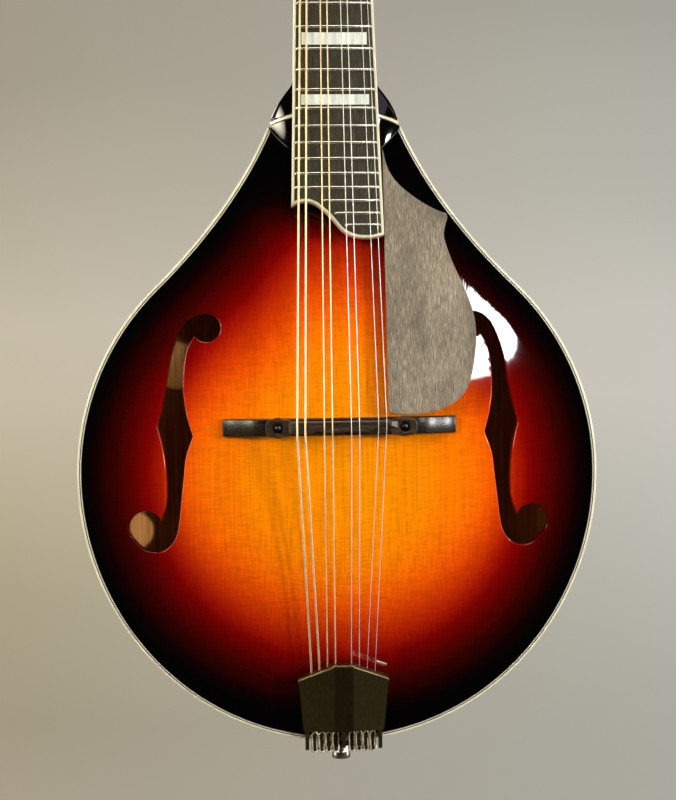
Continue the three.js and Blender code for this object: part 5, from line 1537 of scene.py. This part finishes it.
wheel_radius = 4.9
wheel_thickness = 2.5
wheel_chamfer = 0.45
wheel_edge = 0.4
knurl_depth = 0.25
wheel_top = saddle_bottom - seat_gap
knurls = 36
wheel_bronze = plain_finish("wheel_bronze", (98, 84, 56), (70, 58, 36), 0.38, 1.0, scale=140)
for side_name, side in sides:
    x = side * bridge_post_from_axis

    def knurled(radius, depth, height):
        points = []
        for k in range(2 * knurls):
            turn, reach = math.tau * k / (2 * knurls), radius - depth * (k % 2)
            points.append(place(x + reach * math.cos(turn), -bridge_drop + reach * math.sin(turn), height))
        return points

    bore = bridge_post_radius + turning_gap
    low = wheel_top - wheel_thickness
    knurled_wheel = skin(
        "knurled_wheel_" + side_name,
        [
            knurled(bore, 0, low), knurled(wheel_radius - wheel_chamfer, 0, low),
            knurled(wheel_radius, knurl_depth, low + wheel_edge),
            knurled(wheel_radius, knurl_depth, wheel_top - wheel_edge),
            knurled(wheel_radius - wheel_chamfer, 0, wheel_top), knurled(bore, 0, wheel_top),
        ],
        chain_closed=True, capped=False,
    )
    complete(knurled_wheel, wheel_bronze, 25, "wheel_" + side_name, "brass", "thumbwheel_" + side_name)

bridge_places = paired_places(bridge_spread, bridge_pair_gap)
saddle_front = 3.0
saddle_ledge_height = 28.2
beam_half = saddle_half_length - saddle_pad_length + 1.75 * overrun
crown_shares = [
    (-0.7, -0.8), (-0.544, -0.933), (-0.43, -0.933), (-0.315, -0.533), (-0.229, -0.733), (-0.057, -0.8),
    (0.086, -0.633), (0.2, -0.767), (0.344, -0.733), (0.43, -0.2), (0.5, 0.1), (0.645, 0.1),
    (0.716, -0.133), (0.76, -0.833),
]
crown_line = flow_through([(u * saddle_half_length, v * saddle_front) for u, v in crown_shares], 5)
rings = []
for spot in crown_line:
    x = min(max(spot.x, -beam_half), beam_half)
    arch = max(0, 1 - (x / (0.8 * beam_half)) ** 2) ** 0.5
    floor = saddle_bottom + overrun * arch
    ending = min(1, max(0, (abs(x) - 0.86 * beam_half) / (0.14 * beam_half)))
    crown = saddle_top + (saddle_pad_top - 0.1 - saddle_top) * ending
    cross = [
        (-saddle_front, floor), (-saddle_front, saddle_ledge_height), (spot.y - 0.1, saddle_ledge_height),
        (spot.y, crown - 0.3), (spot.y + 0.3, crown), (saddle_front - 0.5, crown),
        (saddle_front, crown - 0.5), (saddle_front, floor),
    ]
    rings.append([place(x, -bridge_drop + out, height) for out, height in cross])
saddle = skin("ebony_saddle", rings)
pads = []
hole_radius = 2.3
sink_radius = 3.0
sink_depth = 0.8
corner_radius = 2.9
for side in (-1, 1):
    middle = side * (saddle_half_length - saddle_pad_length / 2)
    rings = []
    for shrink, height in (
        (0, saddle_bottom + 0.02), (0, saddle_pad_top - 0.6), (0.18, saddle_pad_top - 0.18),
        (0.6, saddle_pad_top),
    ):
        plan = []
        reach = corner_radius - shrink
        for quarter, (sx, sz) in enumerate(((1, 1), (-1, 1), (-1, -1), (1, -1))):
            centre_x = middle + sx * (saddle_pad_length / 2 - corner_radius)
            centre_z = -bridge_drop + sz * (saddle_pad_width / 2 - corner_radius)
            for k in range(8):
                turn = math.pi / 2 * (quarter + k / 7)
                z = centre_z + reach * math.sin(turn)
                plan.append(place(centre_x + reach * math.cos(turn), z, height))
        rings.append(plan)
    pads.append(skin("pad", rings))
cut(saddle, *pads, operation="UNION")
for side in (-1, 1):
    x = side * bridge_post_from_axis
    sink = [
        (hole_radius, saddle_bottom - overrun), (hole_radius, saddle_pad_top - sink_depth),
        (sink_radius, saddle_pad_top), (sink_radius + sink_depth, saddle_pad_top + sink_depth),
    ]
    cut(saddle, skin("sink", [
        [place(p.x, p.y, height) for p in circle_points(x, -bridge_drop, radius, 32)]
        for radius, height in sink
    ]))
# The saddle's ebony, with short lighter brown blotches in its grain.
blotched_ebony = grained_wood(
    "blotched_ebony", [(0.3, (26, 18, 10)), (0.46, (42, 31, 19)), (0.6, (62, 47, 31)), (0.75, (118, 96, 68))],
    along=0, spacing=0.9, contrast=0.16, roughness=0.32, run=8,
)
dress(saddle, blotched_ebony)
smooth(saddle, 35)
apply_modifier(saddle, "WEIGHTED_NORMAL", keep_sharp=True)
seat(saddle, "saddle", "ebony", "bridge_saddle")

# The pickguard: a thin leaf of ebony beside the strings, grey-brown with painted sheen, its grain
# left open and its edges bevelled, on a short pillar that stands on the top.
guard_start = 222.4
guard_length = 124.6
guard_width = 42.1
guard_from_axis = 21.8
guard_thickness = 2.4
guard_face_drop = 3.2
guard_post_radius = 4
guard_post_from_axis = 47
guard_post_drop = 322
guard_shares = [
    (0, 0), (0.052, 0.071), (0.138, 0.122), (0.266, 0.164), (0.423, 0.203), (0.582, 0.233),
    (0.703, 0.248), (0.708, 0.265), (0.667, 0.318), (0.682, 0.36), (0.77, 0.444), (0.891, 0.539),
    (0.976, 0.624), (1, 0.706), (0.979, 0.791), (0.917, 0.884), (0.798, 0.944), (0.587, 0.984),
    (0.34, 1), (0.067, 0.997), (0.014, 0.978),
]
guard_plan = flow_round(
    [(guard_from_axis + u * guard_width, -guard_start - v * guard_length) for u, v in guard_shares],
    4, (0, 6, 7, 20),
)
guard = slab("ebony_guard", guard_plan, -guard_face_drop - guard_thickness, -guard_face_drop, board_spot)
# The pickguard's pale grey-brown is partly painted sheen over dark ebony, and its broad paler and darker
# clouds are painted sheen.
guard_ebony_and_painted_sheen = grained_wood(
    "guard_ebony_and_painted_sheen",
    [(0.28, (92, 82, 68)), (0.44, (122, 112, 96)), (0.58, (140, 129, 112)), (0.74, (176, 165, 147))],
    along=2, spacing=0.4, contrast=0.14, roughness=0.46, flame_and_sheen=0.26, flame_and_sheen_span=(18, 18, 46), run=16,
)
dress(guard, guard_ebony_and_painted_sheen)
round_edges(guard, 0.9, 4, 50)
seat(guard, "root", "ebony", "pickguard")

pillar_top = board_height(guard_post_drop - guard_post_radius) - guard_face_drop - guard_thickness - seat_gap
pillar_foot = top_height(guard_post_from_axis - guard_post_radius, -guard_post_drop) + seat_gap
pillar = disc(
    "guard_pillar", guard_post_from_axis, -guard_post_drop, guard_post_radius, pillar_foot, pillar_top, 40
)
dress(pillar, dark_ebony)
round_edges(pillar, 0.3)
seat(pillar, "root", "ebony", "pickguard_post")

# The tailpiece: one metal casting, brushed and darkened, screwed to the rim by its foot. Its
# facets fall away from a ridge, and the strings' loops go over its eight upturned hooks.
tail_cover_front = 464.2
tail_cover_rear = 497.2
tail_front_half_width = 21.4
tail_ridge_half_width = 4.6
tail_front_sweep = 6.6
tail_front_height = 18.4
tail_edge_fall = 2.6


def tail_lip_at(x):
    """The cover's front edge at a distance across, as z and height."""
    ridge = tail_ridge_half_width / tail_front_half_width
    wing = max(0, abs(x / tail_front_half_width) - ridge) / (1 - ridge)
    return -tail_cover_front - tail_front_sweep * wing, tail_front_height - tail_edge_fall * wing


def on_front_lip(corner):
    """Whether a corner lies on the cover's front lip."""
    lip_z, lip_height = tail_lip_at(corner.x)
    return abs(corner.z - lip_z) + abs(-corner.y - lip_height) < 0.3


tailpiece = refined_copy("cast_tailpiece", "tailpiece", 0.2, 2, broad_edges=[(on_front_lip, 1.5, 5)])
# The flat of the ridge is painted darker than the facets beside it, and the facets a little lighter: painted
# shade and reflection for how the metal's faces catch the light.
ridge_edge_start = 4.2
ridge_edge_end = 4.6
pewter, tree, shader = new_finish("brushed_pewter", Metallic=1.0, Roughness=0.3)
spots = add_node(tree, "TexCoord").outputs["Object"]
stretch = add_node(tree, "Mapping", spots, Scale=(1 / (0.5 * mm), 1 / (0.5 * mm), 1 / (30 * mm)))
strokes = noise(tree, stretch.outputs["Vector"], Detail=3.0)
tones = coloured(tree, strokes, [(0.3, (113, 99, 62)), (0.5, (124, 109, 71)), (0.7, (135, 119, 81))])
across = add_node(tree, "SeparateXYZ", spots).outputs["X"]
from_ridge = add_node(tree, "Math", across, operation="ABSOLUTE").outputs["Value"]
painted_ridge_shade = ranged(tree, from_ridge, ridge_edge_start * mm, ridge_edge_end * mm, 0.62, 1.06)
shaded = add_node(tree, "VectorMath", tones, operation="SCALE", Scale=painted_ridge_shade)
grind = add_node(tree, "Bump", Strength=0.3, Distance=0.006 * mm, Height=strokes)
feed(shader, Base_Color=shaded.outputs["Vector"], Normal=grind.outputs["Normal"])
dress(tailpiece, pewter)
seat(tailpiece, "root", "tail_metal", "tailpiece")

# The strings: four pairs, the two lower ones wound with bronze. Each runs from its loop at the
# tailpiece over saddle and nut to two turns on its post.
string_diameters = {"g": 1.0, "d": 0.62, "a": 0.4, "e": 0.28}
tail_lip_length = 3.2
tail_hole_drop = 3.4
hook_first = 3.9
hook_spacing = 3.35
hook_width = 1.4
hook_end = 506.8
entry_first = 3.75
entry_spacing = 3.8
loop_wire_radius = 0.34
loop_height = 8.5
winding_gap = 0.45
winding_turns = 2
saddle_travel = 1.2


def mirrored_places(first, spacing):
    half = [first + k * spacing for k in range(4)]
    return [-x for x in reversed(half)] + half


def wire(name, points, radii, sides=12):
    """A round wire through points, its sides kept parallel from one to the next."""
    across = Vector((1, 0, 0))
    rings = []
    for index, point in enumerate(points):
        along = (points[min(index + 1, len(points) - 1)] - points[max(index - 1, 0)]).normalized()
        across = (across - along * across.dot(along)).normalized()
        up = along.cross(across)
        radius = radii[index] * mm
        rings.append(ring_of(lambda u, v: point + across * u + up * v, radius, sides))
    return skin(name, rings)


winding_pitch = 0.22
bronze_wire = plain_finish("bronze_wire", (240, 218, 176), (220, 192, 144), 0.4, 1.0, scale=300)
tree = bronze_wire.node_tree
spots = add_node(tree, "TexCoord").outputs["Object"]
bands = add_node(
    tree, "TexWave", wave_type="BANDS", bands_direction="Z", Vector=spots, Scale=1 / (winding_pitch * mm) / 20
)
groove = add_node(tree, "Bump", Strength=0.6, Distance=0.05 * mm, Height=bands.outputs["Fac"])
feed(tree.nodes["Principled BSDF"], Normal=groove.outputs["Normal"])
steel_wire = plain_finish("steel_wire", (226, 224, 218), (206, 203, 195), 0.4, 1.0, scale=300)
loop_wire = plain_finish("loop_wire", (246, 240, 222), (232, 222, 198), 0.4, 1.0, scale=300)
hook_places = mirrored_places(hook_first, hook_spacing)
entry_places = mirrored_places(entry_first, entry_spacing)
slot_floor = nut_rise - nut_slot_depth
for index, nut_x in enumerate(nut_places):
    course = course_names[index // 2]
    radius = string_diameters[course] / 2
    side = -1 if index < 4 else 1
    rise = post_rises[index if side < 0 else 7 - index]
    hook_x = hook_places[index]
    entry_x = entry_places[index]
    entry_z, entry_height = tail_lip_at(entry_x)
    entry_height -= tail_hole_drop
    under = radius + seat_gap
    legs = hook_width / 2 + seat_gap + loop_wire_radius
    tip = -hook_end - 2 * seat_gap - loop_wire_radius
    tip_root = -hook_end + hook_width + seat_gap + loop_wire_radius
    lower = loop_height - 2 * loop_wire_radius - seat_gap / 2
    twist = -tail_cover_rear - 1.2
    loop = flow_through([
        place(hook_x + legs / 3, twist, lower),
        place(hook_x + legs, twist - legs, lower),
        place(hook_x + legs, tip_root + legs / 2, lower),
        place(hook_x + legs, tip + legs / 2, (lower + loop_height) / 2),
        place(hook_x, tip, loop_height),
        place(hook_x - legs, tip + legs / 2, loop_height),
        place(hook_x - legs, tip_root + legs / 2, loop_height),
        place(hook_x - legs, twist - legs, loop_height),
        place(hook_x, twist, loop_height + seat_gap / 2),
    ], 5)
    behind = -bridge_drop - compensations[course]
    run = [
        place(hook_x, -tail_cover_rear, loop_height + seat_gap),
        place(entry_x, entry_z - tail_lip_length, entry_height - seat_gap),
        place(entry_x, entry_z + overrun, entry_height + seat_gap),
        place(bridge_places[index], behind - saddle_crest_width / 2, saddle_top + under),
        place(bridge_places[index], behind + saddle_crest_width / 2, saddle_top + under),
        board_spot(nut_x, 0, slot_floor + under),
        board_spot(nut_x, nut_length, slot_floor + under),
    ]
    name = f"string_{course}{index % 2 + 1}"
    finish = bronze_wire if index < 4 else steel_wire
    slot_name = "string_bronze" if index < 4 else "string_steel"
    sounding = wire(name + "_wire", loop + run, [loop_wire_radius] * len(loop) + [radius] * len(run))
    dress(sounding, finish, loop_wire)
    for face in sounding.data.polygons:
        face.material_index = 1 if face.center.z < -tail_cover_rear * mm else 0
    smooth(sounding, 60)
    seat(sounding, "root", slot_name, name)
    nut_spot = run[-1]
    drop = saddle_travel * mm
    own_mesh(sounding)
    wound = post_radius + radius + winding_gap
    on_post = overlay_face + post_hole_rise + radius
    turns = [nut_spot]
    for step in range(winding_turns * 24 + 1):
        angle = math.tau * step / 24
        turns.append(head_spot(
            side * (post_from_axis - wound * math.cos(angle)), rise + wound * math.sin(angle),
            on_post - (2 * radius + winding_gap) * angle / math.tau,
        ))
    tuning_end = wire(name + "_on_post", turns, [radius] * len(turns))
    complete(tuning_end, finish, 60, "root", slot_name)

stray_radius = 0.4
stray = flow_through([
    place(15.6, -462.6, 17.8), place(17, -463.0, 18.3), place(18.6, -463.5, 18.7), place(20.2, -464.0, 18.9),
], 4)
stray_end = wire("wire_end", stray, [stray_radius] * len(stray))
complete(stray_end, steel_wire, 60, "root", "string_steel")

# The pickup and its jack: two thin brass discs glued under the top beside the bridge, a lead,
# and an end-pin jack through the tail block whose outer nut is also the strap's button.
jack_thread_radius = 4.7
jack_body_radius = 6.2
jack_body_length = 14
jack_bore_radius = 3.3
jack_bore_length = 33
strap_button_radius = 4.7
strap_groove_radius = 4.1
strap_button_length = 11
strap_washer_radius = 5.9
strap_washer_thickness = 1.2
bracket_thickness = 1.6
tail_block_length = 21


def turned(name, profile):
    """A ring turned round the end pin's axis from pairs of radius and z."""
    rings = [
        [place(p.x, z, jack_height + p.y) for p in circle_points(0, 0, radius, 44)] for radius, z in profile
    ]
    return skin(name, rings, chain_closed=True, capped=False)


mouth = tail_end - seat_gap - bracket_thickness - seat_gap
body_start = tail_end + tail_block_length + rib_inset + seat_gap
bore_end = mouth + jack_bore_length
jack = turned("jack_barrel", [
    (jack_bore_radius, mouth), (jack_thread_radius - 0.3, mouth), (jack_thread_radius, mouth + 0.3),
    (jack_thread_radius, body_start), (jack_body_radius, body_start),
    (jack_body_radius, body_start + jack_body_length), (0.01, body_start + jack_body_length),
    (0.01, bore_end), (jack_bore_radius, bore_end),
])
complete(jack, polished_nickel, 30, "root", "nickel", "end_pin_jack")

washer_end = mouth - seat_gap - strap_washer_thickness
button_out = washer_end - strap_button_length
strap_button = turned("strap_end_button", [
    (jack_bore_radius, button_out + 0.3), (jack_bore_radius + 0.3, button_out),
    (strap_button_radius - 0.5, button_out), (strap_button_radius - 0.15, button_out + 0.15),
    (strap_button_radius, button_out + 0.5),
    (strap_button_radius, button_out + strap_button_length / 4),
    (strap_groove_radius + 0.15, button_out + strap_button_length / 3.2),
    (strap_groove_radius, button_out + strap_button_length / 2.8), (strap_groove_radius, washer_end),
    (strap_washer_radius - 0.2, washer_end), (strap_washer_radius, washer_end + 0.2),
    (strap_washer_radius, mouth - seat_gap), (jack_bore_radius, mouth - seat_gap),
])
complete(strap_button, polished_nickel, 30, "root", "nickel", "strap_button")
for node_name in ("pickup_bass", "pickup_treble"):
    dress(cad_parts[node_name], dull_brass)

lead_radius = 1.1
pickup_radius = 9
pickup_from_axis = 12
disc_roof = -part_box("pickup_bass")[1][1] / mm
disc_under = disc_roof - lead_radius - seat_gap
jack_in = body_start + jack_body_length + seat_gap
sag = 4 * lead_radius
lead_run = flow_through([
    place(-pickup_from_axis, -bridge_drop, disc_under),
    place(0, -bridge_drop - pickup_radius / 2, disc_under - sag / 2),
    place(pickup_from_axis, -bridge_drop, disc_under),
    place(pickup_from_axis, -bridge_drop - 3 * pickup_radius, disc_under - sag),
    place(pickup_from_axis / 2, jack_in + 2 * pickup_radius, jack_height / 2),
    place(0, jack_in + pickup_radius, jack_height),
    place(0, jack_in, jack_height),
], 10)
lead = wire("pickup_cable", lead_run, [lead_radius] * len(lead_run))
dress(lead, plain_finish("cable_jacket", (24, 24, 24), (15, 15, 15), 0.5))
smooth(lead, 60)
seat(lead, "root", "lead_jacket", "pickup_lead")
